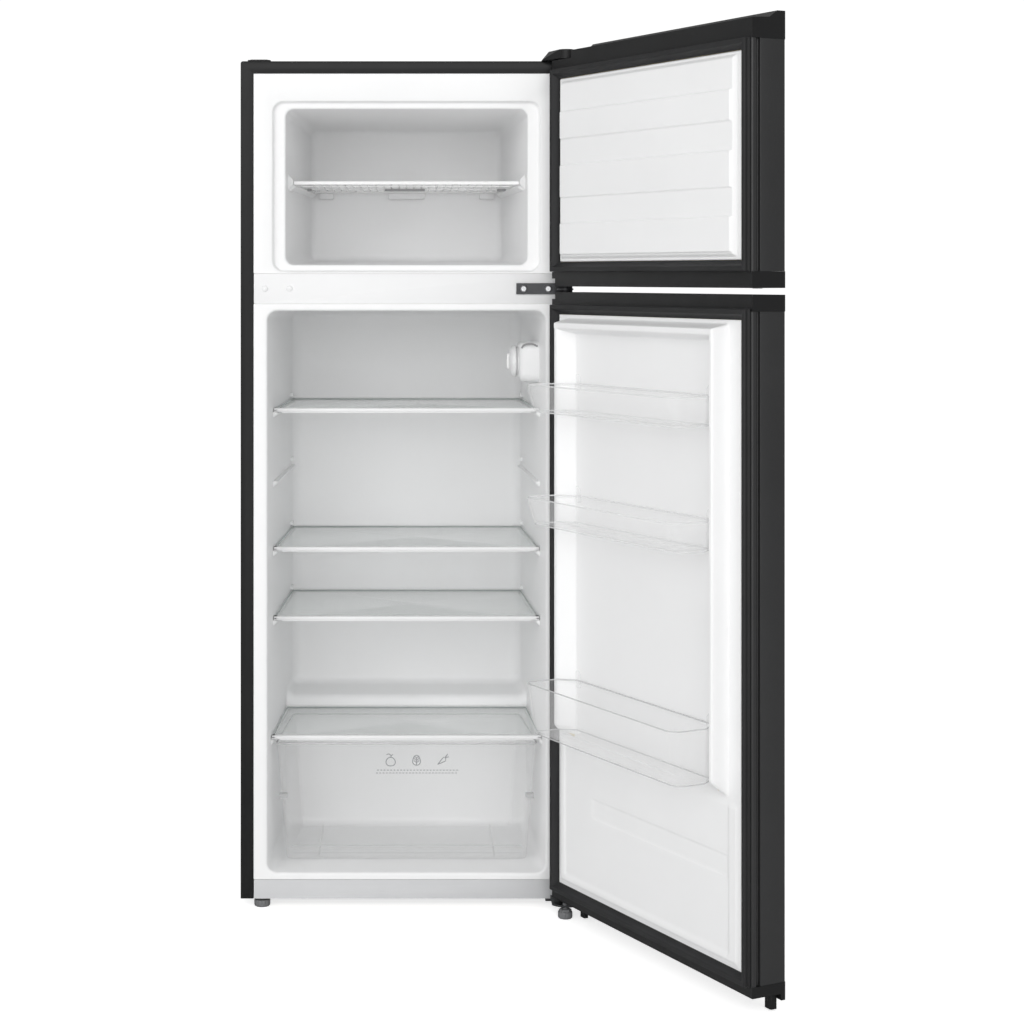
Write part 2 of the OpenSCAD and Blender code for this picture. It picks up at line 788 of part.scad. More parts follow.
// Crisper volume, shrunk by off on every side.
module drawer_body(off) {
    hull() {
        upper = [222 - off, drawer_y + off, 303 - off];
        lower = [206 - off, drawer_y + 14 + off, 286 - off];
        for (q = [[drawer_hi + off - eps, upper], [drawer_lo + off, lower]])
            translate([0, 0, q[0]]) linear_extrude(eps) {
                w_back = q[1].x - 17;
                for (side = [1, -1]) {
                    translate([side * (q[1].x - 12), q[1].y + 12]) circle(12, $fn = 32);
                    translate([side * (w_back - 12), q[1].z - 12]) circle(12, $fn = 32);
                }
            }
    }
}

// Clear drawer for fruit and vegetables.
module crisper_drawer() {
    wall = 2.5;
    color("#eef3f5", 0.5) place() {
        difference() {
            drawer_body(0);
            difference() {
                drawer_body(wall);
                span([-half, 0, 0], [half, cab_d, drawer_lo + wall]);
            }
        }
        // ribs along the drawer's floor
        for (side = [1, -1])
            translate([side * 150 - 1, drawer_y + 22, drawer_lo + wall - 0.5]) cube([2, 190, 6]);
    }
}

// ---------------------------------------------------------------- feet

// Levelling foot: a ribbed disc on a threaded stud.
module foot(r, stud_top) {
    difference() {
        union() {
            cylinder(h = 3, r1 = r - 1.5, r2 = r);
            translate([0, 0, 3]) cylinder(h = 8, r = r);
        }
        for (a = [0:30:330])
            rotate(a) translate([r, 0, 3.5]) cylinder(h = 10, r = 1.1, $fn = 16);
    }
    cylinder(h = stud_top, r = 4);
}

module left_foot() {
    color("#6d6f72") place() translate([left_foot_x, left_foot_y, 0]) foot(13.5, 32);
}

module right_foot() {
    color("#6d6f72") place() translate([right_foot_x, right_foot_y, 0]) {
        foot(12, 25.4);
        translate([0, 0, 11]) cylinder(h = 4, r = 11);
    }
}

// The two plain feet at the back.
module rear_feet() {
    color("#2a2b2d") place()
        for (side = [-1, 1])
            translate([side * rear_foot_x, rear_foot_y, 0]) {
                cylinder(h = 2, r1 = 12, r2 = 14);
                translate([0, 0, 2]) cylinder(h = floor_gap - 2, r = 14);
                cylinder(h = floor_gap + 8, r = 4);
            }
}

// ---------------------------------------------------------------- hinges

// Upper hinge: a plate on the cabinet's top with a pin down into the freezer door.
module top_hinge() {
    z = top_z + 0.2;
    color("#4a4c4f") place() difference() {
        union() {
            translate([0, 0, z]) linear_extrude(plate_t) {
                translate([232, 6]) square([42, 52]);
                translate([axis_x - 10, axis_y]) square([20, 40]);
                translate([axis_x, axis_y]) circle(11);
            }
            translate([axis_x, axis_y, top_z - 17]) cylinder(h = 19, r = pin_r);
        }
        for (s = top_screws) translate([s.x, s.y, z - 1]) cylinder(h = 6, r = 2.3);
    }
}

// Middle hinge: a plate on the divider, an arm in the gap and a pin for each door.
module middle_hinge() {
    color("#707377") place() difference() {
        union() {
            span([183.5, -2.8, divider_mid - 9.3], [half - 0.5, -0.2, divider_mid + 9.3]);
            translate([0, 0, arm_lo]) linear_extrude(arm_t) {
                translate([axis_x - 15, axis_y]) square([27, -axis_y - 2.6]);
                translate([axis_x, axis_y]) circle(11);
            }
            translate([axis_x, axis_y, arm_lo - 16]) cylinder(h = 35, r = pin_r);
        }
        for (x = mid_screws)
            translate([x, -6, divider_mid]) rotate([-90, 0, 0]) cylinder(h = 10, r = 2.3);
    }
}

// Lower hinge: a plate under the cabinet, stepped up to an arm with the lowest pin.
module bottom_hinge() {
    color("#3c3e41") place() difference() {
        union() {
            span([232, -4, body_z - plate_t - 0.2], [half - 1, 62, body_z - 0.2]);
            span([240, -4, body_z - plate_t - 0.2], [half - 1, -1, low_arm_z + plate_t]);
            translate([0, 0, low_arm_z]) linear_extrude(plate_t) {
                translate([240, axis_y]) square([half - 1 - 240, -axis_y - 1]);
                intersection() {
                    translate([axis_x, axis_y]) circle(30, $fn = 64);
                    translate([240, axis_y - 40]) square([half - 1 - 240, 41]);
                }
            }
            translate([axis_x, axis_y, low_arm_z]) cylinder(h = 22.4, r = pin_r);
        }
        for (s = low_screws) translate([s.x, s.y, body_z - 6]) cylinder(h = 8, r = 2.3);
        translate([right_foot_x, right_foot_y, 0]) cylinder(h = 40, r = 4.3);
    }
}

// Cover over the upper hinge.
module top_hinge_cover() {
    z = top_z + 0.3;
    h = 15.5;
    color("#1c1c1e") place() difference() {
        hull() {
            span([226, -4, z], [half - 0.2, 64, z + 1]);
            translate([axis_x, axis_y, z]) cylinder(h = 1, r = 15, $fn = 32);
            span([238, 2, z + h - 1], [half - 0.2, 58, z + h]);
            translate([axis_x, axis_y, z + h - 1]) cylinder(h = 1, r = 13, $fn = 32);
        }
        hull() {
            span([229, -4, z - 1], [half - 2.2, 61.5, z + 1]);
            translate([axis_x, axis_y, z - 1]) cylinder(h = 1, r = 12.4, $fn = 32);
            span([240, 2, z + h - 3], [half - 2.2, 56, z + h - 2]);
            translate([axis_x, axis_y, z + h - 3]) cylinder(h = 1, r = 11.2, $fn = 32);
        }
    }
}

// Low cover over the spare hinge holes on the left of the top.
module top_hole_cover() {
    color("#1c1c1e") place() translate([0, 0, top_z + 0.1]) {
        linear_extrude(2.4) round_rect([-266, 4], [-228, 62], 5);
        linear_extrude(3.4) round_rect([-262, 8], [-232, 58], 4);
    }
}

module hinge_screws() {
    color("#c9ccd0") place() {
        for (s = top_screws) translate([s.x, s.y, top_z + 0.2 + plate_t + 0.05]) screw(screw_len);
        for (x = mid_screws)
            translate([x, -2.85, divider_mid]) rotate([90, 0, 0]) screw(screw_len);
        for (s = low_screws)
            translate([s.x, s.y, body_z - plate_t - 0.25]) rotate([180, 0, 0]) screw(screw_len - 2);
    }
}

// Caps in the spare holes on the left of the divider and of the band.
module hole_plugs() {
    color("#e6e7e8") place()
        for (x = mid_screws)
            translate([-x, -0.05, divider_mid]) rotate([90, 0, 0]) {
                cylinder(h = 1.6, r1 = 5.5, r2 = 4);
                translate([0, 0, -8]) cylinder(h = 8 + eps, r = 2);
            }
}

// ---------------------------------------------------------------- doors

// Plan of a door's sheet: front, both edges with the finger groove, and the inner lips.
module panel_plan(off) {
    groove_u = cab_w - 6;
    r = 3;
    difference() {
        union() {
            translate([off, -door_t + r]) square([cab_w - 2 * off, door_t - r - off]);
            translate([r, -door_t + off]) square([cab_w - 2 * r, door_t - 2 * off]);
            for (u = [r, cab_w - r]) translate([u, -door_t + r]) circle(max(r - off, eps));
        }
        translate([groove_u - off, -15 - off]) square([20, 9 + 2 * off]);
    }
}

// Steel sheet of a door between its caps.
module door_panel(z0, z1) {
    color("#3a3b3d") swing() on_door() difference() {
        translate([0, 0, z0]) linear_extrude(z1 - z0) panel_plan(0);
        translate([0, 0, z0 - 1]) linear_extrude(z1 - z0 + 2) difference() {
            panel_plan(1);
            translate([-1, -1.2]) square([panel_lip + 1, 5]);
            translate([cab_w - panel_lip, -1.2]) square([panel_lip + 1, 5]);
        }
        // the sheet's inner side is open between the two lips
        span([panel_lip, -1.5, z0 - 1], [cab_w - panel_lip, 1, z1 + 1]);
    }
}

// Outline of a door seen from above, a little proud of the sheet.
module cap_plan() {
    r = cap_r;
    edge = cap_proud;
    translate([-edge, -door_t + r - edge]) square([cab_w + 2 * edge, door_t - r + edge]);
    translate([r - edge, -door_t - edge]) square([cab_w - 2 * r + 2 * edge, door_t + edge]);
    for (u = [r - edge, cab_w - r + edge])
        translate([u, -door_t + r - edge]) circle(r);
}

// Bore for a hinge bush in a cap.
module bush_bore(z0, h) {
    translate([hinge_in, -hinge_out, z0]) cylinder(h = h, r = bush_r);
}

// Upper cap of the freezer door, with a raised front edge and room for the hinge.
module freezer_door_top_cap() {
    z0 = frz_door_hi - cap_h - 5;
    notch_z = top_z - 2.5;
    color("#1f2022") swing() on_door() difference() {
        intersection() {
            translate([0, 0, z0]) linear_extrude(60) cap_plan();
            translate([-5, 0, 0]) rotate([90, 0, 90]) linear_extrude(cab_w + 10) polygon([
                [0, z0], [0, frz_door_hi], [-30, frz_door_hi + 2], [-44, frz_door_lip],
                [-80, frz_door_lip], [-80, z0]
            ]);
        }
        translate([hinge_in, -hinge_out, notch_z]) cylinder(h = 60, r = 50);
        bush_bore(notch_z - bush_h, 40);
    }
}

// Lower cap of the freezer door.
module freezer_door_bottom_cap() {
    color("#1f2022") swing() on_door() difference() {
        translate([0, 0, frz_door_lo]) linear_extrude(cap_h) cap_plan();
        span([-5, -11, frz_door_lo - 1], [9, 5, frz_door_lo + 13]);
        bush_bore(frz_door_lo - 1, bush_h + 1);
        // seat of the spare bush at the free end
        translate([cab_w - hinge_in, -hinge_out, frz_door_lo - 1]) cylinder(h = 9, r = bush_r);
    }
}

// Upper cap of the fresh food door.
module fridge_door_top_cap() {
    color("#1f2022") swing() on_door() difference() {
        translate([0, 0, fr_door_hi - cap_h]) linear_extrude(cap_h) cap_plan();
        span([-5, -11, fr_door_hi - 11], [9, 5, fr_door_hi + 1]);
        bush_bore(fr_door_hi - bush_h, 40);
    }
}

// Lower cap of the fresh food door, with a front edge that hangs lower.
module fridge_door_bottom_cap() {
    color("#1f2022") swing() on_door() difference() {
        intersection() {
            linear_extrude(fr_door_lo + cap_h - 8) cap_plan();
            translate([-5, 0, 0]) rotate([90, 0, 90]) linear_extrude(cab_w + 10) polygon([
                [0, 100], [0, fr_door_lo], [-49.5, fr_door_lo], [-51, fr_door_lip],
                [-80, fr_door_lip], [-80, 100]
            ]);
        }
        bush_bore(fr_door_lo - 1, bush_h + 1);
    }
}

// Bush that a hinge pin turns in.
module bush(z0) {
    translate([hinge_in, -hinge_out, z0]) difference() {
        cylinder(h = bush_h, r = bush_r);
        translate([0, 0, -1]) cylinder(h = bush_h + 2, r = pin_r + bush_clear);
    }
}

module freezer_door_bushes() {
    color("#e3e4e5") swing() on_door() {
        bush(top_z - 2.5 - bush_h);
        bush(frz_door_lo);
        // blind spare bush at the free end, where the hinge goes on a left-hand door
        translate([cab_w - hinge_in, -hinge_out, frz_door_lo - 1]) cylinder(h = 9, r = bush_r);
    }
}

module fridge_door_bushes() {
    color("#e3e4e5") swing() on_door() {
        bush(fr_door_hi - bush_h);
        bush(fr_door_lo);
    }
}

// Stops that hang under the fresh food door, one at each end.
module fridge_door_stops() {
    color("#1f2022") swing() on_door() {
        translate([62, -24, 6]) linear_extrude(fr_door_lo - 6) round_rect([-7, -4], [7, 4], 2);
        translate([541, -43, 3]) linear_extrude(fr_door_lo - 3) round_rect([-8, -6], [8, 6], 3);
    }
}

// Magnetic gasket: a broad foot and a narrower bellows in front of it.
module gasket(z0, z1) {
    inner_lo = rim_u - 0.4;
    inner_hi = cab_w - rim_free + 0.4;
    outer_hi = cab_w - gasket_free;
    z_out = 16.6;
    color("#1a1a1b") swing() on_door() difference() {
        union() {
            span([gasket_u, 0.2, z0 - z_out], [outer_hi, 2.5, z1 + z_out]);
            // the magnet strip stands along the outer edge
            difference() {
                span([gasket_u, 2.4, z0 - z_out], [outer_hi, gasket_h, z1 + z_out]);
                span([gasket_u + gasket_w, 2, z0 - z_out + gasket_w],
                     [outer_hi - gasket_w, 20, z1 + z_out - gasket_w]);
            }
        }
        span([inner_lo, -1, z0 - 0.4], [inner_hi, 20, z1 + 0.4]);
        // fold between the foot and the magnet strip
        for (q = [[gasket_u - 1, gasket_u + 3], [outer_hi - 3, outer_hi + 1]])
            span([q[0], 5, z0 - 20], [q[1], 7, z1 + 20]);
        for (q = [[z0 - z_out - 1, z0 - z_out + 3], [z1 + z_out - 3, z1 + z_out + 1]])
            span([0, 5, q[0]], [cab_w, 7, q[1]]);
    }
}

// Raised box on a door's liner, from its foot to its top, grown by off. Its hollow, which is
// the same box with a negative off, reaches through the liner to the foam.
module raised(foot_lo, foot_hi, top_lo, top_hi, p, off, r = 5, base = 1) {
    hull() {
        translate([0, off < 0 ? -1 : base, 0]) rotate([90, 0, 0]) linear_extrude(eps)
            round_rect([foot_lo.x - off, foot_lo.y - off], [foot_hi.x + off, foot_hi.y + off], r);
        translate([0, p + off, 0]) rotate([90, 0, 0]) linear_extrude(eps)
            round_rect([top_lo.x - off, top_lo.y - off], [top_hi.x + off, top_hi.y + off], r);
    }
}

// Plug of the freezer door's liner with its three bands, grown by off.
module freezer_plug(off) {
    lo = frz_rim[0] + 8;
    hi = frz_rim[1] - 8;
    raised([rim_u + 4, lo], [cab_w - rim_u - 4, hi], [rim_u + 9, lo + 5],
           [cab_w - rim_u - 12, hi - 5], 7, off);
}

module freezer_door_liner() {
    bands = [[1089, 1143], [1183, 1238], [1279, 1326]];
    color("#f4f5f6") swing() on_door() {
        difference() {
            union() {
                span([rim_u, 0.2, frz_rim[0]], [cab_w - rim_free, 2.2, frz_rim[1]]);
                freezer_plug(0);
            }
            freezer_plug(-2);
        }
        for (b = bands)
            raised([rim_u + 6, b[0] - 1], [cab_w - rim_u - 10, b[1] + 1],
                   [rim_u + 9, b[0] + 1], [cab_w - rim_u - 12, b[1] - 1], 10.2, 0, 2, 6.4);
    }
}

// The three dykes of the fresh food door's liner, grown by off.
module dykes(off) {
    // hinge side and free side
    raised([dyke_base, dyke_lo], [dyke_root, dyke_hi], [dyke_top, dyke_lo + 26],
           [dyke_in, dyke_hi - 6], dyke_h, off, dyke_r);
    raised([cab_w - dyke_root, dyke_lo], [cab_w - dyke_base, dyke_hi],
           [cab_w - dyke_in, dyke_lo + 26], [cab_w - dyke_top, dyke_hi - 6], dyke_h, off,
           dyke_r);
    // across the top
    raised([dyke_base, 962], [cab_w - dyke_base, dyke_hi], [dyke_top, 970],
           [cab_w - dyke_top, dyke_hi - 6], dyke_h, off, dyke_r);
}

// Liner of the fresh food door: rim, dykes and the pressed panel below the bins.
module fridge_door_liner() {
    color("#f4f5f6") swing() on_door() {
        difference() {
            union() {
                span([rim_u, 0.2, fr_rim[0]], [cab_w - rim_free, 2.2, fr_rim[1]]);
                dykes(0);
                // rests under the ends of the bins
                for (z = [bin_low_z - 82, bin_mid_z - 45, bin_top_z - 45], side = [0, 1])
                    translate([side * cab_w, 0, 0]) mirror([side, 0, 0])
                        span([dyke_in + 4, 2, z - 5], [dyke_root + 9, 16, z - 0.5]);
            }
            dykes(-2);
        }
        // raised edge around the panel below the bins, and the band pressed across it
        for (u = [rim_u + 2, cab_w - dyke_base])
            span([u, 2, fr_rim[0] + 4], [u + 20, 6, dyke_lo + 8]);
        span([rim_u + 2, 2, fr_rim[0] + 4], [cab_w - rim_u - 4, 6, fr_rim[0] + 16]);
        span([dyke_root + 50, 2, 186], [cab_w - dyke_base, 4.4, 220]);
    }
}

// Foam that fills a door between its sheet, its caps and its liner.
module door_foam(z0, z1, rim) {
    translate([0, 0, z0]) linear_extrude(z1 - z0) difference() {
        panel_plan(1.6);
        translate([-1, -1.8]) square([cab_w + 2, 5]);
    }
    span([rim_u + 1, -2, rim[0] + 1], [cab_w - rim_u - 1, 0, rim[1] - 1]);
}

module freezer_door_foam() {
    color("#e9dcb0") swing() on_door() {
        door_foam(frz_door_lo + cap_h + 0.4, frz_door_hi - cap_h - 5.4, frz_rim);
        freezer_plug(-2.4);
    }
}

module fridge_door_foam() {
    color("#e9dcb0") swing() on_door() {
        door_foam(fr_door_lo + cap_h - 7.6, fr_door_hi - cap_h - 0.4, fr_rim);
        dykes(-2.4);
    }
}

module freezer_door_panel() { door_panel(frz_door_lo + cap_h + 0.1, frz_door_hi - cap_h - 5.1); }
module fridge_door_panel() { door_panel(fr_door_lo + cap_h - 7.9, fr_door_hi - cap_h - 0.1); }
module freezer_door_gasket() { gasket(frz_rim[0], frz_rim[1]); }
module fridge_door_gasket() { gasket(fr_rim[0], fr_rim[1]); }

// ---------------------------------------------------------------- door bins

// Plan of a bin: it widens from the liner's wall to the dykes' tops, then runs straight.
module bin_plan(off, draw_in) {
    front = bin_reach - draw_in - off;
    lo = bin_u + off + draw_in / 3;
    r = 16;
    hull()
        for (side = [0, 1]) translate([side * cab_w, 0, 0]) mirror([side, 0, 0]) {
            translate([lo + r, front - r]) circle(r, $fn = 32);
            translate([lo, dyke_h + 1]) square(0.5);
            translate([dyke_root + 4 + off, 5 + off]) square(0.5);
        }
}

// Clear bin with the given rim height and depth.
module bin(rim_z, depth) {
    color("#eef3f5", 0.5) swing() on_door() difference() {
        union() {
            hull() {
                translate([0, 0, rim_z - 12]) linear_extrude(12) bin_plan(0, 0);
                translate([0, 0, rim_z - depth]) linear_extrude(1) bin_plan(0, 10);
            }
            // ears that rise at the back corners
            for (side = [0, 1]) translate([side * cab_w, 0, 0]) mirror([side, 0, 0])
                span([dyke_root + 4, 5, rim_z - 14], [dyke_root + 14, 16, rim_z + 16]);
        }
        hull() {
            translate([0, 0, rim_z - 11]) linear_extrude(40) bin_plan(bin_wall, 0);
            translate([0, 0, rim_z - depth + bin_wall]) linear_extrude(1)
                bin_plan(bin_wall, 10);
        }
    }
}

module bin_upper() { bin(bin_top_z, 45); }
module bin_middle() { bin(bin_mid_z, 45); }
module bin_lower() { bin(bin_low_z, 82); }

// ---------------------------------------------------------------- nodes

outer_wrapper();
rear_panel();
bottom_panel();
compressor_tray();
insulation();
freezer_liner();
fridge_liner();
divider_cover();
toe_strip();
condenser_coil();
evaporator();
compressor();
compressor_mounts();
relay_box();
drip_tray();
filter_drier();
refrigerant_pipes();
power_inlet();
control_housing();
thermostat_dial();
lamp_cover();
lamp();
freezer_shelf();
shelf_glass_upper();
shelf_trim_upper();
shelf_glass_middle();
shelf_trim_middle();
shelf_glass_lower();
shelf_trim_lower();
crisper_cover_glass();
crisper_cover_trim();
crisper_drawer();
left_foot();
right_foot();
rear_feet();
top_hinge();
middle_hinge();
bottom_hinge();
top_hinge_cover();
top_hole_cover();
hinge_screws();
hole_plugs();
freezer_door_panel();
freezer_door_top_cap();
freezer_door_bottom_cap();
freezer_door_liner();
freezer_door_gasket();
freezer_door_foam();
freezer_door_bushes();
fridge_door_panel();
fridge_door_top_cap();
fridge_door_bottom_cap();
fridge_door_liner();
fridge_door_gasket();
fridge_door_foam();
fridge_door_bushes();
fridge_door_stops();
bin_upper();
bin_middle();
bin_lower();
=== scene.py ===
"""Top freezer refrigerator with both doors open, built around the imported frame."""
import json
import math

import bmesh
import bpy
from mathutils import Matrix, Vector


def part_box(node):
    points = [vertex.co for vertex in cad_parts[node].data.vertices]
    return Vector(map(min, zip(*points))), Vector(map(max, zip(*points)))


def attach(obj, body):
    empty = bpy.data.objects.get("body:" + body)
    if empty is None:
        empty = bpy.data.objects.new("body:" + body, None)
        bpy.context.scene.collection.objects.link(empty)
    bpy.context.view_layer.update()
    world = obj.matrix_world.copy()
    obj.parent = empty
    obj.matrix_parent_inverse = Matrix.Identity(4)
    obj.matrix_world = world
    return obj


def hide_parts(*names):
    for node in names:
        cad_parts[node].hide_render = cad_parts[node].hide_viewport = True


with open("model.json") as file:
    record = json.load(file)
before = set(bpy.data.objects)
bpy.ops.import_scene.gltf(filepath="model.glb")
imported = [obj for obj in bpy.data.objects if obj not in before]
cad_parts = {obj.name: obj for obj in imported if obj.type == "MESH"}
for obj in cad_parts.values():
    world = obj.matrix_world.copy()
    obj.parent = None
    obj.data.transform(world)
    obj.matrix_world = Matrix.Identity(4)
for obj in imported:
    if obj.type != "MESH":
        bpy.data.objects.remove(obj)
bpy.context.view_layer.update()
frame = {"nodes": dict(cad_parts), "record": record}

record = frame["record"]
MM = 0.001

# ---- places
# Pieces are drawn in millimetres about the cabinet: x = 0 on its centre plane, y = 0 on its
# front plane, z = 0 on the floor. A door is drawn closed: u from its hinge side, p inward
# from its inner plane.
shell_lo, shell_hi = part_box("outer_wrapper")
CENTRE_X, FRONT_Y = (shell_lo.x + shell_hi.x) / 2, shell_lo.y
HALF, DEPTH, FLOOR, TOP = 277.5, 488.0, 15.0, 1415.0
WIDTH = 2 * HALF
DOOR_GAP, DOOR_T = 12.0, 59.0
RIM_NEAR, RIM_FAR = 28.0, WIDTH - 22.0          # u of the door liners' rims
FREEZER_RIM, FRIDGE_RIM = (1079.0, 1380.0), (58.5, 992.5)
SHELVES = {"lower": 466, "middle": 585, "upper": 823}
SPARE_SHELF, COVER_Z, FREEZER_SHELF = 704, 269, 1211
joints = {j["name"]: j for j in record["behaviour"]["joints"]}
hinge = joints["fridge_door_hinge"]
AXIS_X, AXIS_Y = hinge["pos_m"][0], hinge["pos_m"][1]
OPEN = math.radians(-hinge["range_deg"][0])
COS, SIN = math.cos(OPEN), math.sin(OPEN)


def cab(x, y, z):
    """Cabinet millimetres to the row frame."""
    return Vector((x * MM + CENTRE_X, y * MM + FRONT_Y, z * MM))


def door(u, p, z):
    """Closed door millimetres to the row frame, with the door open."""
    v = cab(HALF - u, p - DOOR_GAP, z)
    dx, dy = v.x - AXIS_X, v.y - AXIS_Y
    return Vector((AXIS_X + COS * dx - SIN * dy, AXIS_Y + SIN * dx + COS * dy, v.z))


def lerp(a, b, t):
    return a + (b - a) * t


def ease(a, b, x):
    t = min(max((x - a) / (b - a), 0.0), 1.0)
    return t * t * (3 - 2 * t)


def quarter(n):
    """(cos, sin) in n steps over a quarter turn."""
    return [(math.cos(a), math.sin(a)) for a in (math.radians(90 * k / n) for k in range(n + 1))]


def circle(n):
    """(cos, sin) in n steps over a full turn."""
    return [(math.cos(a), math.sin(a)) for a in (2 * math.pi * k / n for k in range(n))]


# half widths of the two rooms, which narrow from the front to ROOM_BACK
ROOM_BACK = 432.0


def fridge_wall(y):
    return lerp(233, 214, y / ROOM_BACK)


def freezer_wall(y):
    return lerp(203, 178, y / ROOM_BACK)


def add(name, data):
    """New object in the scene."""
    o = bpy.data.objects.new(name, data)
    bpy.context.scene.collection.objects.link(o)
    return o


# ---- materials
def material(name, color, rough, *grain, metal=0.0, tone=0.04, tone_scale=9.0, rough_var=0.05,
             stretch=(1, 1, 1), alpha=None, coat=0.0, spec=0.5, specks=None):
    """A procedural finish: a base colour that drifts a little, an uneven gloss and bumps, each
    grain a (scale, strength, distance). alpha goes from face on to edge on."""
    m = bpy.data.materials.new(name)
    m.use_nodes = True
    t = m.node_tree
    shader = t.nodes["Principled BSDF"]
    link = t.links.new

    def node(kind, **values):
        n = t.nodes.new(kind)
        for k, v in values.items():
            setattr(n, k, v)
        return n

    def fill(n, **values):
        for k, v in values.items():
            n.inputs[k.replace("_", " ")].default_value = v
        return n

    coords = node("ShaderNodeTexCoord")
    place = fill(node("ShaderNodeMapping"), Scale=stretch)
    link(coords.outputs["Object"], place.inputs["Vector"])

    def noise(scale, detail):
        n = fill(node("ShaderNodeTexNoise"), Scale=scale, Detail=detail, Roughness=0.55)
        link(place.outputs["Vector"], n.inputs["Vector"])
        return n.outputs["Fac"]

    def remap(value, lo, hi, target):
        n = fill(node("ShaderNodeMapRange"), To_Min=lo, To_Max=hi)
        link(value, n.inputs["Value"])
        link(n.outputs["Result"], shader.inputs[target])

    ramp = node("ShaderNodeValToRGB")
    dark = [c * (1 - tone) for c in color]
    light = [min(1.0, c * (1 + tone)) for c in color]
    ramp.color_ramp.elements[0].position = 0.3
    ramp.color_ramp.elements[1].position = 0.7
    ramp.color_ramp.elements[0].color = (*dark, 1)
    ramp.color_ramp.elements[1].color = (*light, 1)
    link(noise(tone_scale, 4.0), ramp.inputs["Fac"])
    out = ramp.outputs["Color"]
    if specks:
        scale, speck_color, amount = specks
        cells = fill(node("ShaderNodeTexVoronoi"), Scale=scale)
        link(place.outputs["Vector"], cells.inputs["Vector"])
        split = node("ShaderNodeSeparateColor")
        link(cells.outputs["Color"], split.inputs["Color"])
        some = node("ShaderNodeMath", operation="MULTIPLY")
        some.inputs[1].default_value = amount
        link(split.outputs[0], some.inputs[0])
        mix = node("ShaderNodeMix", data_type="RGBA")
        link(some.outputs[0], mix.inputs["Factor"])
        link(out, mix.inputs[6])
        mix.inputs[7].default_value = (*speck_color, 1)
        out = mix.outputs[2]
    link(out, shader.inputs["Base Color"])
    remap(noise(tone_scale * 2.3, 5.0),
          max(0.02, rough - rough_var), min(1.0, rough + rough_var), "Roughness")
    last = None
    for scale, strength, distance in grain:
        bump = fill(node("ShaderNodeBump"), Strength=strength, Distance=distance)
        link(noise(scale, 2.0), bump.inputs["Height"])
        if last:
            link(last.outputs["Normal"], bump.inputs["Normal"])
        last = bump
    if last:
        link(last.outputs["Normal"], shader.inputs["Normal"])
    fill(shader, Metallic=metal, Coat_Weight=coat, IOR=1.5, Specular_IOR_Level=spec)
    if alpha:
        remap(fill(node("ShaderNodeLayerWeight"), Blend=0.35).outputs["Facing"], *alpha, "Alpha")
    return m


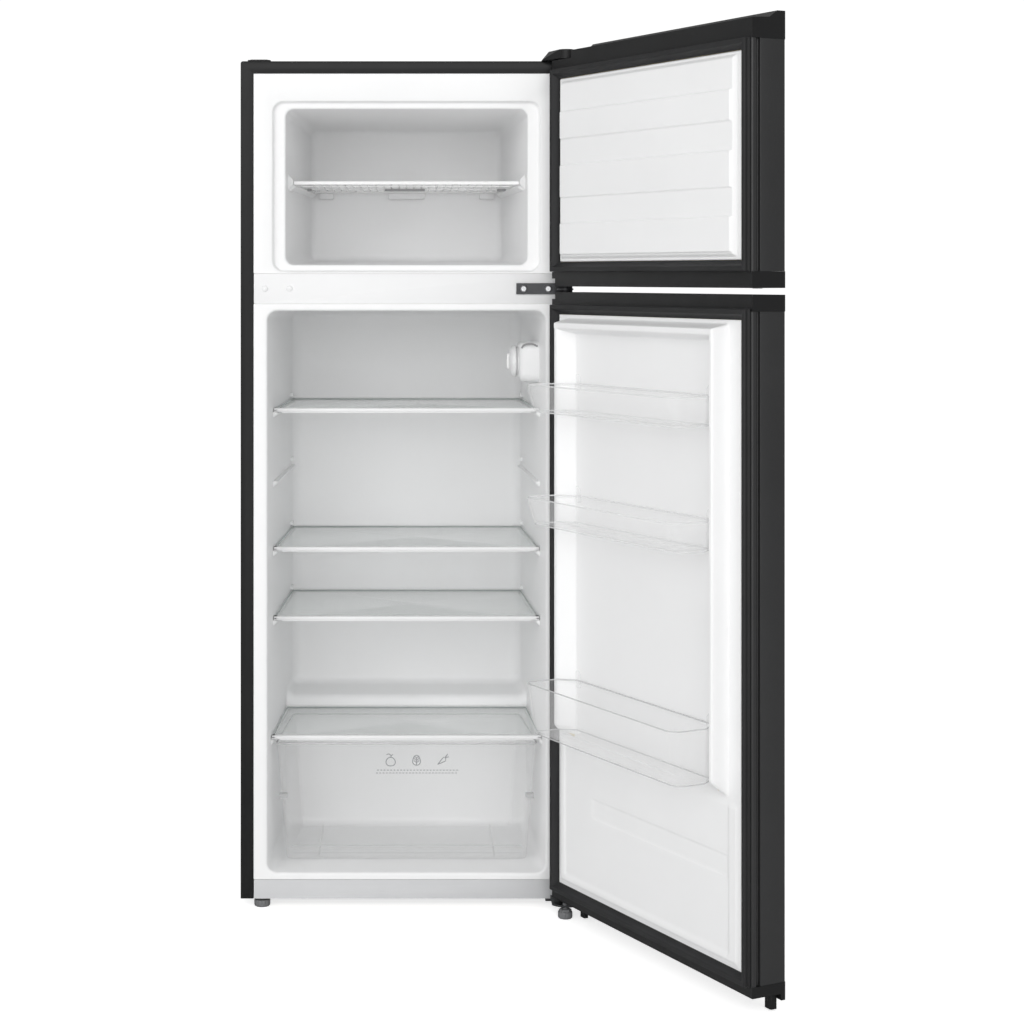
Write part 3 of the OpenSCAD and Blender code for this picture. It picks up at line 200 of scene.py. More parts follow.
M = {
    "enamel": material("black_enamel", (0.0095, 0.0096, 0.01), 0.3, (1400, 0.05, 0.0004),
        (160, 0.03, 0.001), tone=0.1, spec=0.2),
    "door": material("charcoal_enamel", (0.024, 0.0243, 0.025), 0.33, (1500, 0.06, 0.0004),
        (140, 0.03, 0.001), tone=0.07, spec=0.4),
    "cap": material("black_plastic", (0.0095, 0.0096, 0.01), 0.42, (2400, 0.16, 0.0004), tone=0.1,
        spec=0.26),
    "gasket": material("gasket_rubber", (0.019, 0.0192, 0.02), 0.6, (900, 0.15, 0.0005), tone=0.12,
        spec=0.3),
    "rubber": material("black_rubber", (0.013, 0.013, 0.0135), 0.72, (700, 0.25, 0.0006), tone=0.15,
        spec=0.3),
    "liner": material("liner_plastic", (0.925, 0.927, 0.929), 0.42, (55, 0.05, 0.003),
        (1300, 0.04, 0.0004), tone=0.012, tone_scale=5),
    "trim": material("white_trim", (0.86, 0.862, 0.865), 0.33, (1100, 0.05, 0.0004), tone=0.012),
    "toe": material("toe_trim", (0.66, 0.665, 0.675), 0.45, (1100, 0.08, 0.0004), tone=0.02),
    "wire": material("white_wire", (0.88, 0.88, 0.88), 0.36, (800, 0.08, 0.0004), tone=0.02),
    "clear": material("clear_plastic", (0.96, 0.962, 0.965), 0.12, (220, 0.03, 0.001), tone=0.01,
        rough_var=0.03, alpha=(0.03, 0.28)),
    # grey clear plastic for rims and edges: paints the dark lines that clear plastic edges show, as
    # painted shade
    "rim_painted_shade": material("clear_plastic_rim_painted_shade", (0.66, 0.665, 0.67), 0.14, (220, 0.03, 0.001),
        tone=0.01, alpha=(0.5, 0.85)),
    "bin_rim": material("door_bin_rim", (0.93, 0.935, 0.94), 0.14, (220, 0.03, 0.001), tone=0.01,
        alpha=(0.45, 0.8)),
    "frost": material("frosted_plastic", (0.93, 0.94, 0.95), 0.5, (900, 0.2, 0.0005), tone=0.01,
        alpha=(0.55, 0.9)),
    "glass": material("shelf_glass", (0.86, 0.9, 0.89), 0.05, (30, 0.01, 0.001), tone=0.01,
        rough_var=0.01, alpha=(0.08, 0.38)),
    "glass_edge": material("shelf_glass_edge", (0.42, 0.5, 0.475), 0.22, (500, 0.1, 0.0004),
        tone=0.05, alpha=(0.6, 0.8)),
    "bulb": material("lamp_glass", (1.0, 0.95, 0.86), 0.3, (200, 0.05, 0.0005), tone=0.01,
        alpha=(0.7, 0.95)),
    "dark_steel": material("dark_hinge_steel", (0.05, 0.051, 0.054), 0.36, (420, 0.1, 0.0004),
        metal=0.7, tone=0.12, stretch=(1, 9, 9)),
    "screw": material("screw_plating", (0.5, 0.505, 0.515), 0.28, (900, 0.06, 0.0003), metal=1.0,
        tone=0.06),
    "copper": material("copper_tube", (0.74, 0.37, 0.21), 0.32, (300, 0.08, 0.0004), metal=1.0,
        tone=0.16, tone_scale=26),
    "zinc": material("galvanised_sheet", (0.5, 0.51, 0.53), 0.44, (260, 0.05, 0.0004), metal=0.75,
        tone=0.08, specks=(85, (0.66, 0.67, 0.7), 0.7)),
    "foam": material("insulation_foam", (0.8, 0.68, 0.38), 0.9, (420, 0.7, 0.002), (60, 0.4, 0.004),
        tone=0.12, tone_scale=30, spec=0.2),
    "compressor": material("compressor_paint", (0.014, 0.0142, 0.015), 0.3, (180, 0.12, 0.0012),
        (1200, 0.08, 0.0004), tone=0.2, coat=0.3),
    "foot": material("grey_foot_plastic", (0.17, 0.172, 0.178), 0.52, (1300, 0.15, 0.0004),
        tone=0.06),
    "plate": material("evaporator_plate", (0.72, 0.73, 0.74), 0.3, (300, 0.06, 0.0003), metal=1.0,
        tone=0.05, stretch=(1, 8, 1)),
    "mark": material("printed_mark", (0.3, 0.31, 0.32), 0.5, (900, 0.05, 0.0003), tone=0.03,
        alpha=(0.85, 0.9)),
    # grey for painted shade: the tube under the dial's hood and the plates under the freezer shelf
    "clip": material("grey_clip_plastic", (0.3, 0.302, 0.305), 0.5, (900, 0.1, 0.0003), tone=0.04),
}


# ---- mesh helpers
def rect(x0, y0, x1, y1, r, n=6):
    """Rectangle with round corners as a loop of points. r is one radius or one per corner,
    from the lower right and round to the left."""
    radii = r if isinstance(r, (tuple, list)) else (r,) * 4
    loop = []
    corners = ((x1, y0, -1, 1, -90), (x1, y1, -1, -1, 0), (x0, y1, 1, -1, 90), (x0, y0, 1, 1, 180))
    for (cx, cy, sx, sy, a0), rad in zip(corners, radii):
        rad = max(rad, 0.02)
        for i in range(n + 1):
            a = math.radians(a0 + 90 * i / n)
            loop.append((cx + sx * rad + rad * math.cos(a), cy + sy * rad + rad * math.sin(a)))
    return loop


def fillet(points, radii, n=5):
    """Closed polygon with each corner rounded by its own radius."""
    loop = []
    count = len(points)
    for i, (p, r) in enumerate(zip(points, radii)):
        p = Vector(p)
        a = (Vector(points[i - 1]) - p)
        b = (Vector(points[(i + 1) % count]) - p)
        half = a.angle(b) / 2
        cut = r / math.tan(half)
        s, e = p + a.normalized() * cut, p + b.normalized() * cut
        centre = p + (a.normalized() + b.normalized()).normalized() * (r / math.sin(half))
        vs, ve = s - centre, e - centre
        turn = math.atan2(vs.x * ve.y - vs.y * ve.x, vs.dot(ve))
        for k in range(n + 1):
            w = turn * k / n
            c, d = math.cos(w), math.sin(w)
            loop.append((centre.x + vs.x * c - vs.y * d, centre.y + vs.x * d + vs.y * c))
    return loop


def loft(rings, wrap=True, loop=False, caps=(True, True)):
    """Surface through rings of the same number of points."""
    n, m = len(rings[0]), len(rings)
    verts = [tuple(v) for ring in rings for v in ring]
    faces = []
    for i in range(m if loop else m - 1):
        a, b = i * n, ((i + 1) % m) * n
        for j in range(n if wrap else n - 1):
            k = (j + 1) % n
            faces.append((a + j, a + k, b + k, b + j))
    if caps[0]:
        faces.append(tuple(range(n - 1, -1, -1)))
    if caps[1]:
        faces.append(tuple(range((m - 1) * n, m * n)))
    return verts, faces


def join(*parts):
    verts, faces = [], []
    for v, f in parts:
        base = len(verts)
        verts += v
        faces += [tuple(i + base for i in face) for face in f]
    return verts, faces


def block(lo, hi):
    v = [(x, y, z) for x in (lo[0], hi[0]) for y in (lo[1], hi[1]) for z in (lo[2], hi[2])]
    return v, [(0, 1, 3, 2), (4, 6, 7, 5), (0, 4, 5, 1), (2, 3, 7, 6), (0, 2, 6, 4), (1, 5, 7, 3)]


def prism(outline, z0, z1, axis="z", edge=0.0):
    """Outline pushed along an axis, with its two rims eased by edge."""
    def at(q, h):
        return {"z": (q[0], q[1], h), "y": (q[0], h, q[1]), "x": (h, q[0], q[1])}[axis]
    cx = sum(q[0] for q in outline) / len(outline)
    cy = sum(q[1] for q in outline) / len(outline)

    def inset(q, d):
        v = Vector((q[0] - cx, q[1] - cy))
        w = v - v.normalized() * d if v.length > d else v
        return (cx + w.x, cy + w.y)
    if edge <= 0:
        return loft([[at(q, h) for q in outline] for h in (z0, z1)])
    s = 1 if z1 > z0 else -1
    steps = [(z0, edge), (z0 + s * edge * 0.3, edge * 0.3), (z0 + s * edge, 0),
             (z1 - s * edge, 0), (z1 - s * edge * 0.3, edge * 0.3), (z1, edge)]
    return loft([[at(inset(q, d), h) for q in outline] for h, d in steps])


def lathe(profile, centre, axis="z", sign=1, n=48):
    """Profile of (radius, height) turned about an axis through centre."""
    rings = []
    for r, h in profile:
        ring = []
        for c, s in circle(n):
            c, s, up = max(r, 0.001) * c, max(r, 0.001) * s, sign * h
            d = {"z": (c, s, up), "y": (c, up, s), "x": (up, c, s)}[axis]
            ring.append(tuple(p + q for p, q in zip(centre, d)))
        rings.append(ring)
    return loft(rings)


def tube(points, r, n=12, bend=0.0, closed=False):
    """Round tube along points, its corners rounded to the radius bend."""
    path = [Vector(p) for p in points]
    if bend > 0:
        smooth = [path[0]]
        for a, b, c in zip(path, path[1:], path[2:]):
            ia, ic = (a - b), (c - b)
            cut = min(bend, ia.length * 0.45, ic.length * 0.45)
            s, e = b + ia.normalized() * cut, b + ic.normalized() * cut
            for k in range(7):
                t = k / 6
                smooth.append(s * (1 - t) ** 2 + b * 2 * t * (1 - t) + e * t * t)
        smooth.append(path[-1])
        path = smooth
    rings = []
    side = None
    count = len(path)
    for i, p in enumerate(path):
        if closed:
            ahead = (path[(i + 1) % count] - path[i - 1]).normalized()
        else:
            ahead = (path[min(i + 1, count - 1)] - path[max(i - 1, 0)]).normalized()
        if side is None:
            side = ahead.orthogonal().normalized()
        side = (side - ahead * side.dot(ahead)).normalized()
        up = ahead.cross(side)
        rings.append([tuple(p + (side * c + up * s) * r) for c, s in circle(n)])
    return loft(rings, loop=closed, caps=(not closed, not closed))


def piece(name, geometry, mat, body, nodes=(), space=cab, bevel=0.0, segments=2,
          thick=0.0, sharp=38, edge_mat=None):
    """Makes a mesh piece that rides on a body."""
    verts, faces = geometry
    me = bpy.data.meshes.new(name)
    me.from_pydata([space(*v) for v in verts], [], faces)
    bm = bmesh.new()
    bm.from_mesh(me)
    bmesh.ops.remove_doubles(bm, verts=bm.verts, dist=4e-6)
    bmesh.ops.dissolve_degenerate(bm, dist=2e-6, edges=bm.edges)
    bmesh.ops.recalc_face_normals(bm, faces=bm.faces)
    bm.to_mesh(me)
    bm.free()
    me.materials.append(M[mat])
    if edge_mat:
        me.materials.append(M[edge_mat])
        for f in me.polygons:
            f.material_index = 1 if abs(f.normal.z) < 0.7 else 0
    me.shade_smooth()
    me.set_sharp_from_angle(angle=math.radians(sharp))
    o = add(name, me)
    if thick:
        solid = o.modifiers.new("thickness", "SOLIDIFY")
        solid.thickness, solid.offset = thick * MM, 0
    if bevel:
        add_bevel(o, bevel, segments)
    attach(o, body)
    if nodes:
        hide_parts(*nodes)
    return o


def add_bevel(o, width, segments=2):
    b = o.modifiers.new("edges", "BEVEL")
    b.width, b.segments = width * MM, segments
    b.limit_method, b.angle_limit = "ANGLE", math.radians(32)
    b.use_clamp_overlap = True
    b.harden_normals = True


def keep(node, mat, bevel=0.0, segments=2):
    """Dresses a CAD node in a finish and eases its edges."""
    o = frame["nodes"][node]
    if not o.material_slots:
        o.data.materials.append(M[mat])
    for s in o.material_slots:
        s.material = M[mat]
    if bevel:
        weld = o.modifiers.new("weld", "WELD")
        weld.merge_threshold = 1e-5
        add_bevel(o, bevel, segments)
    return o


# ---- cabinet shell
def shell():
    profile = [(21.7, 9), (21.7, 0.9), (21.4, 0.3), (20.8, 0), (1.6, 0), (0.5, 0.45), (0, 1.6),
               (0, 486.4), (0.45, 487.5), (1.6, 488), (14, 488), (14, 486.8), (1.2, 486.8),
               (1.2, 1.2), (20.5, 1.2), (20.5, 9)]
    rings = []
    for inset, y in profile:
        r = max(4 - inset, 0.4)
        x, top = HALF - inset, TOP - inset
        ring = [(-x, y, FLOOR)]
        ring += [(-x + r - r * c, y, top - r + r * s) for c, s in quarter(6)]
        ring += [(x - r + r * s, y, top - r + r * c) for c, s in quarter(6)]
        ring.append((x, y, FLOOR))
        rings.append(ring)
    verts, faces = loft(rings, wrap=False, loop=True, caps=(False, False))
    n = len(rings[0])
    faces.append(tuple(i * n for i in range(len(rings))))
    faces.append(tuple(i * n + n - 1 for i in reversed(range(len(rings)))))
    piece("cabinet_shell", (verts, faces), "enamel", "cabinet", ["outer_wrapper"])


shell()


# ---- liners
def room_ring(w, lo, hi, r, y):
    return [(x, y, z) for x, z in rect(-w, lo, w, hi, r, 8)]


def rim_rings(lo, hi):
    """A liner's turned edge, which lies against the front trims."""
    return [room_ring(255.3, lo, hi, 1.0, 2), room_ring(255.3, lo, hi, 1.0, 0.6),
            room_ring(254.9, lo + 0.4, hi - 0.4, 1.0, 0)]


def fridge_liner():
    wall, r, corner = fridge_wall, 17, 22.5

    def ceiling(y):
        return lerp(998, 990, y / ROOM_BACK)
    rings = rim_rings(47.4, 1008.8)
    for c, s in quarter(4):
        grow = 4 * (1 - s)
        rings.append(room_ring(wall(0) + grow, 58 - grow, 998 + grow, r + grow, 4 * (1 - c)))
    # floor, then the step over the machine space
    for y, lo in ((300, 58), (306, 58.6), (311, 61), (314, 66), (315, 72), (316.5, 270),
                  (317.6, 279), (320.5, 286), (325, 290.4), (331, 292)):
        rings.append(room_ring(wall(y), lo, ceiling(y), r, y))
    for c, s in quarter(7):
        shrink = 13 * (1 - c)
        y = ROOM_BACK - corner * (1 - s)
        rings.append(room_ring(wall(ROOM_BACK - corner) - corner * (1 - c), 292 + shrink,
                               ceiling(y) - shrink, max(r - shrink * 0.6, 5), y))
    piece("fresh_food_liner", loft(rings, caps=(False, True)), "liner", "cabinet",
          ["fridge_liner"], thick=1.0)


def freezer_liner():
    rings = rim_rings(1060.2, 1393.8)
    # the step that the shelf's room is set back by
    rings += [room_ring(*ring) for ring in (
        (226.2, 1061.2, 1350.2, 20, 0), (224.8, 1062.0, 1348.8, 19, 0.7),
        (224.0, 1063.0, 1348, 18.5, 2.4), (223.0, 1063.6, 1347, 18, 6.5),
        (221.5, 1064.6, 1345.6, 17, 9), (219, 1066.4, 1343.4, 16, 10),
        (206.5, 1071.5, 1339, 15, 10.4))]
    for c, s in quarter(4)[1:]:
        rings.append(room_ring(203 + 3.5 * (1 - s), 1074 - 2.5 * (1 - s), 1336 + 3 * (1 - s),
                               14.5, 10.4 + 3.6 * (1 - c)))
    for c, s in quarter(5):
        shrink = 12 * (1 - c)
        y = 416 + 12 * s
        rings.append(room_ring(freezer_wall(y) - shrink, 1082 + shrink, 1328 - shrink,
                max(14 - shrink * 0.5, 5), y))
    piece("freezer_liner_shell", loft(rings, caps=(False, True)), "liner", "cabinet",
          ["freezer_liner"], thick=1.0)


def ledge(side, wall, z, y0, y1, depth):
    """Formed shelf ledge with a round nose at its front end."""
    rings, nose = [], 7
    for y in [y0 + nose * (1 - c) for c, _ in quarter(9)] + [y1]:
        t = min((y - y0) / nose, 1)
        d = depth * math.sqrt(max(1 - (1 - t) ** 2, 0.02))
        w = wall(y)
        section = ((-1, -0.4), (d - 1.8, -0.4), (d - 0.5, -1.0), (d, -2.4), (d - 0.4, -4.2),
                   (d * 0.7, -6.4), (d * 0.2, -9.4), (-1, -10))
        rings.append([(side * (w - q), y, z + h) for q, h in section])
    return loft(rings)


def ledges():
    parts = []
    for side in (1, -1):
        for z in sorted((*SHELVES.values(), SPARE_SHELF)):
            parts.append(ledge(side, fridge_wall, z, 90, 412, 8))
            # stop above the plate's rear end
            w = fridge_wall(396)
            parts.append(block((side * (w - 5), 388, z + 9), (side * (w + 1), 404, z + 15)))
        parts.append(ledge(side, fridge_wall, COVER_Z, 57, 308, 6))
        parts.append(ledge(side, freezer_wall, FREEZER_SHELF, 70, 422, 10))
    piece("shelf_ledges", join(*parts), "liner", "cabinet", bevel=0.8)
    parts = []
    for side in (1, -1):
        # rests that narrow from the wall to the shelf's end
        rings = []
        for x, grow in ((201.5, 1.0), (199, 0.86), (196.5, 0.62), (194.4, 0.42), (193, 0.34),
                (192.6, 0.22)):
            lo, hi = 1216 - 15 * grow, 1216 + 13 * grow
            front, rear = 58 - 12 * grow, 58 + 12 * grow
            rings.append([(side * x, y, z) for y, z in rect(front, lo, rear, hi, 5 * grow, 5)])
        parts.append(loft(rings))
    for x, w in ((-150, 14), (0, 34), (150, 14)):
        parts.append(prism(rect(x - w, 1199, x + w, 1210, 3), 416, 429, "y", 1.0))
    piece("freezer_shelf_rests", join(*parts), "trim", "cabinet")


fridge_liner()
freezer_liner()
ledges()

# ---- front trims
strip = prism(rect(-255.3, 1009.4, 255.3, 1059.6, 2), 2.5, 0, "y", 0.6)
piece("divider_strip", strip, "trim", "cabinet", ["divider_cover"])
toe = prism(rect(-255.3, FLOOR, 255.3, 46.6, 2), 2.6, 0, "y", 0.6)
lip = prism(rect(-253, 42.5, 253, 46.2, 1), 2.6, -0.3, "y", 0.4)
piece("toe_kick_strip", join(toe, lip), "toe", "cabinet", ["toe_strip"])
caps = []
for x in (-195.7, -236.7):
    caps.append(lathe([(0, -2.1), (2.2, -2.0), (3.8, -1.6), (5.2, -0.5), (5.5, 0.1), (2, 0.2),
            (2, 7.5), (0, 8)], (x, -0.1, 1034.5), "y", n=32))
    caps.append(lathe([(0, -2.6), (1.0, -2.5), (1.2, -1.8), (0.2, -1.5)],
                      (x, -0.1, 1034.5), "y", n=20))
piece("divider_plugs", join(*caps), "trim", "cabinet", ["hole_plugs"])


# ---- freezer shelf
def wire_shelf():
    z, parts = FREEZER_SHELF, []
    front = [(60.3, 0.4), (61.2, 0.0), (64.2, 0.0), (65, 0.6), (65, 5.2), (64.2, 6.0), (61.2, 6.0),
             (60.3, 5.4)]
    parts.append(loft([[(x, y, z + h) for y, h in front] for x in (-191.3, 191.3)]))
    rear = 414
    for y, r, w in ((rear - 2, 2.0, 174), (170, 1.3, 181), (290, 1.3, 176.4)):
        parts.append(tube([(-w, y, z + 1.6), (w, y, z + 1.6)], r, 12))
    for side in (1, -1):
        parts.append(tube([(side * 188.4, 64, z + 2.2), (side * 171.4, rear - 2, z + 2.2)], 2.1))
    wires = 25
    for i in range(wires):
        x = -162 + i * 324 / (wires - 1)
        parts.append(tube([(x, 63.5, z + 1.4), (x, 66, z + 3.2), (x, 90, z + 3.6),
                (x, rear - 2, z + 3.6)], 1.4, 10, bend=3))
    # three grey plates under the shelf that darken it there: painted shade
    clips = [prism(rect(x - w, 262, x + w, 284, 3), z - 2.6, z + 1.4, edge=0.6)
             for x, w in ((-179, 8), (-3, 36), (171.5, 8))]
    piece("wire_shelf_clips", join(*clips), "clip", "wire_shelf")
    piece("wire_shelf_grid", join(*parts), "wire", "wire_shelf", ["freezer_shelf"])


wire_shelf()


# ---- glass shelves
def rail(end, y0, y1, z, half, h):
    """Moulded rail along a plate's edge, slotted for the glass from z + 1 to z + 5."""
    lo, hi, top = z + 1.0, z + 5.0, z + h
    if end == "front":      # its slot is open towards the back
        y = y0 + 4
        body = [(y0, z), (y1, z), (y1, lo), (y, lo), (y, hi), (y1, hi), (y1, top), (y0, top)]
        radii = [1.6, 0.3, 0.2, 0.2, 0.2, 0.2, 0.5, 2.4]
    else:
        y = y1 - 3
        body = [(y0, z), (y1, z), (y1, top), (y0, top), (y0, hi), (y, hi), (y, lo), (y0, lo)]
        radii = [0.3, 1.2, 1.2, 0.5, 0.2, 0.2, 0.2, 0.2]
    section = fillet(body, radii, 3)
    return loft([[(x, y, v) for y, v in section] for x in (-half, half)])


def glass_shelf(tag, body, z, y0, y1, nodes):
    wall = fridge_wall
    gap = 3
    outline = fillet([(-wall(y0 + 4) + gap, y0 + 4.2), (wall(y0 + 4) - gap, y0 + 4.2),
            (wall(y1) - gap, y1 - 3.2), (-wall(y1) + gap, y1 - 3.2)], [3] * 4, 4)
    piece(f"{tag}_glass_plate", prism(outline, z + 1.0, z + 5.0, edge=0.4), "glass", body,
          [nodes[0]], edge_mat="glass_edge")
    half = wall(y0) - 1.8
    front = rail("front", y0, y0 + 13, z, half, 6.4)
    rear = rail("rear", y1 - 8, y1 + 1, z, wall(y1) - 2.6, 6.0)
    # grip lip under the front rail and end caps
    lip = prism(rect(-half + 14, z - 1.6, half - 14, z + 0.6, 0.7), y0 + 1.2, y0 + 4.2, "y", 0.5)
    end = fillet([(y0, z), (y0 + 13, z), (y0 + 13, z + 6.4), (y0, z + 6.4)],
                 [1.6, 1.0, 1.2, 2.4], 4)
    ends = [prism(end, s * half, s * (half - 6), "x", 0.5) for s in (1, -1)]
    piece(f"{tag}_rails", join(front, rear, lip, *ends), "trim", body, [nodes[1]])


for tag in ("upper", "middle", "lower"):
    glass_shelf(f"{tag}_shelf", f"shelf_{tag}", SHELVES[tag], 88, 414,
                [f"shelf_glass_{tag}", f"shelf_trim_{tag}"])
glass_shelf("crisper_cover", "cabinet", COVER_Z, 55, 311,
            ["crisper_cover_glass", "crisper_cover_trim"])


# ---- crisper drawer
def crisper():
    lo, hi, wall = 60.0, 262.0, 2.5

    def ring(t, off, z):
        """Plan of the drawer at height t from its floor (0) to its rim (1)."""
        w_front = lerp(206, 222, t) - off
        w_back = w_front - 17
        y0, y1 = lerp(74, 60, t) + off, lerp(286, 303, t) - off
        r = 12 - off
        pts = fillet([(-w_front, y0), (w_front, y0), (w_back, y1), (-w_back, y1)], [r] * 4, 6)
        return [(x, y, z) for x, y in pts]
    rings = [ring(0.0, 8, lo), ring(0.004, 3.5, lo + 0.3), ring(0.01, 1.0, lo + 1.6),
             ring(0.03, 0, lo + 5)]
    for t in (0.35, 0.7, 0.93):
        rings.append(ring(t, 0, lerp(lo, hi, t)))
    # rim that rolls outward a little, then the inside
    rings += [ring(0.955, -0.9, hi - 9), ring(0.985, -1.1, hi - 3), ring(0.995, -0.7, hi - 0.5),
              ring(1.0, 0.6, hi), ring(1.0, 1.8, hi - 0.4), ring(0.98, wall, hi - 4)]
    for t in (0.7, 0.35, 0.04):
        rings.append(ring(t, wall, lerp(lo, hi, t)))
    rings += [ring(0.02, wall + 1.2, lo + 3.6), ring(0.016, wall + 4, lo + 2.7),
              ring(0.015, 11, lo + wall)]
    parts = [loft(rings)]
    for x in (-150, 150):
        parts.append(prism(rect(84, lo + 2.2, 276, lo + 8.5, 2), x - 1.1, x + 1.1, "x", 0.3))
    # seam across the floor behind the front wall
    parts.append(prism(rect(-196, lo + 2.2, 196, lo + 4.0, 0.6), 104, 105.6, "y", 0.3))
    piece("crisper_drawer_shell", join(*parts), "clear", "crisper",
          ["crisper_drawer"], sharp=30)
    # the drawer's rim, ledges and front line are grey, painting the dark edge lines of clear plastic
    # as shade
    rim = []
    loop = ring(0.99, -0.2, hi - 1.4)
    rim.append(tube(loop, 1.5, 8, closed=True))
    # pull ledge inside the front wall and the two side catches
    for s in (1, -1):
        rim.append(prism(fillet([(60.5, 168), (78, 168), (78, 174), (60.5, 174)], [1.5] * 4, 3),
                         s * 203, s * 216.5, "x", 0.8))
    y, z = lerp(74, 60, 0.12) + 0.6, lerp(lo, hi, 0.12)
    rim.append(tube([(x, y, z) for x in (-196, 196)], 1.0, 8))
    piece("crisper_drawer_rim", join(*rim), "rim_painted_shade", "crisper")

    # three produce marks and a rule of dots, raised a hair off the front wall
    def on_front(x, z):
        t = (z - lo) / (hi - lo)
        return (x, lerp(74, 60, t) - 0.35, z)

    def stroke(points, r=0.7, closed=False):
        return tube([on_front(x, z) for x, z in points], r, 6, closed=closed)
    z0, turn = 232, circle(18)
    fruit, leaf, root = -27, 17, 62         # x of each outline
    marks = [
        stroke([(fruit + 8.0 * c, z0 - 2 + 7.6 * s - 1.2 * abs(c)) for c, s in turn], closed=True),
        stroke([(fruit, z0 + 4.5), (fruit + 1, z0 + 8), (fruit + 3.5, z0 + 10)]),
        stroke([(fruit + 1, z0 + 8), (fruit - 3, z0 + 11), (fruit - 7, z0 + 10)]),
        stroke([(leaf + 6.5 * c * (1 - 0.25 * s), z0 + 8.6 * s) for c, s in turn], closed=True),
        stroke([(leaf, z0 - 8), (leaf, z0 + 5)]),
        *[stroke([(leaf - 4.5, z0 + k + 2.5), (leaf, z0 + k - 1), (leaf + 4.5, z0 + k + 2.5)])
          for k in (-3, 1, 5)],
        stroke([(root - 9, z0 - 7), (root + 1, z0 + 5.5), (root + 5, z0 + 3), (root + 4, z0 - 1.5),
                (root - 9, z0 - 7)]),
        stroke([(root + 3.5, z0 + 4.5), (root + 8, z0 + 11)]),
        stroke([(root + 3.5, z0 + 4.5), (root + 10, z0 + 6)])]
    for k in range(25):
        x = -50 + k * 5.6
        marks += [stroke([(x, z0 - 17), (x + 3.0, z0 - 17)]),
                  stroke([(x - 2, z0 - 22), (x + 1.4, z0 - 22)], 0.6)]
    piece("crisper_marks", join(*marks), "mark", "crisper")


crisper()


# ---- controls
def controls():
    y0, y1, lo, hi, face = 100.0, 198.0, 874.0, 941.0, 194.0
    outline = fillet([(y0, lo), (y1, lo), (y1, hi), (y0, hi)], [14, 8, 8, 14], 8)

    def ring(depth, grow):
        cy, cz = (y0 + y1) / 2, (lo + hi) / 2
        pts = []
        for y, z in outline:
            w = 1 + grow / 40
            yy, zz = cy + (y - cy) * w, cz + (z - cz) * w
            pts.append((min(depth, fridge_wall(yy) + 1), yy, zz))
        return pts
    housing = loft([ring(240, 1.0), ring(face + 9, 0), ring(face + 5.5, -0.5), ring(face + 3, -1.6),
            ring(face + 1.2, -3.4), ring(face + 0.3, -5.6), ring(face, -8)])
    dial_y, dial_z = 148, (lo + hi) / 2
    collar = lathe([(25, -0.5), (25, 1.4), (24, 2.3), (22.5, 2.5), (22.2, 1.0), (5, 1.0)],
            (face, dial_y, dial_z), "x", -1, 72)
    # dark grey tube that paints the shadow under the hood of the case: painted shade
    hood_shadow = tube([(face + 4, 100.6, hi - 9.5), (face + 6, 100.2, hi - 5),
            (face + 11, 99.7, hi - 2.6), (face + 18, 99.6, hi - 1.9), (face + 25, 99.7, hi - 2.8),
            (face + 31, 100.2, hi - 6)], 1.5, 10, bend=6)
    piece("control_hood_painted_shadow", hood_shadow, "clip", "cabinet")
    piece("control_case", join(housing, collar), "trim", "cabinet",
          ["control_housing"])
    # knurled dial with a grip bar
    rings = []
    for r, h in ((4, 0.2), (24.5, 0.2), (26.6, 0.6), (27.3, 1.6), (27.3, 4.2), (26.6, 6.2),
            (25.0, 8.0), (22.4, 9.9), (18.5, 11.5), (13.0, 12.5), (7, 12.9), (0.01, 13)):
        radii = [r - (0.55 if i % 4 == 0 and r > 26 else 0) for i in range(120)]
        rings.append([(face - 2.9 - h, dial_y + q * c, dial_z + q * s)
                      for q, (c, s) in zip(radii, circle(120))])
    grip = fillet([(dial_y - 5, dial_z - 14), (dial_y + 5, dial_z - 14), (dial_y + 5, dial_z + 14),
                   (dial_y - 5, dial_z + 14)], [4.4] * 4, 6)
    grip = prism(grip, face - 12.6, face - 19.4, "x", 1.4)
    shaft = lathe([(4, 0), (4, 14), (3.2, 14.4), (0.01, 14.4)],
                  (face - 3.1, dial_y, dial_z), "x", 1, 32)
    point = block((face - 19.7, dial_y - 0.8, dial_z + 3), (face - 19.2, dial_y + 0.8, dial_z + 11))
    piece("dial_knob", join(loft(rings), grip, shaft), "trim", "dial",
            ["thermostat_dial"])
    piece("dial_pointer", point, "mark", "dial", bevel=0.15)
    # ribbed lamp cover and the lamp
    parts = []
    for y in range(201, 261, 6):
        w = fridge_wall(y + 3)
        parts.append(prism(fillet([(199, 877), (w, 877), (w, 935), (199, 935)], [6, 1, 1, 6], 5),
                           y, y + 5.4, "y", 0.9))
    piece("lamp_lens", join(*parts), "frost", "cabinet", ["lamp_cover"])
    bulb = lathe([(0.01, 0), (4.5, 0), (4.5, 12), (4.0, 14), (4.2, 18), (5.6, 24), (6.0, 29),
            (5.2, 33.5), (3.0, 36.4), (0.01, 37.4)], (207, 198.4, 907.5), "y", 1, 32)
    piece("lamp_bulb", bulb, "bulb", "cabinet", ["lamp"])


controls()


# ---- feet, hinges, screws
def ribbed_foot(x, y, r, stud, collar=None):
    rings = []
    for rad, h in ((r - 3.5, 0), (r - 1.6, 0), (r - 0.5, 1.2), (r, 3), (r, 10), (r - 0.6, 11),
                   (4.4, 11.2)):
        radii = [rad - (0.9 if i % 8 in (0, 1) and 2 < h < 10.6 else 0) for i in range(96)]
        rings.append([(x + q * c, y + q * s, h) for q, (c, s) in zip(radii, circle(96))])
    parts = [loft(rings)]
    thread, h = [(4.3, 11)], 11.0
    while h < stud - 1.5:
        thread += [(4.0, h + 0.25), (3.3, h + 0.75)]
        h += 1.25
        thread.append((4.0, h - 0.1))
    thread += [(3.2, stud), (0.01, stud)]
    parts.append(lathe(thread, (x, y, 0), n=32))
    if collar:
        parts.append(lathe([(4.2, 11), (collar, 11), (collar, 14.4), (collar - 0.8, 15), (4.2, 15)],
                (x, y, 0), n=6))
    return join(*parts)


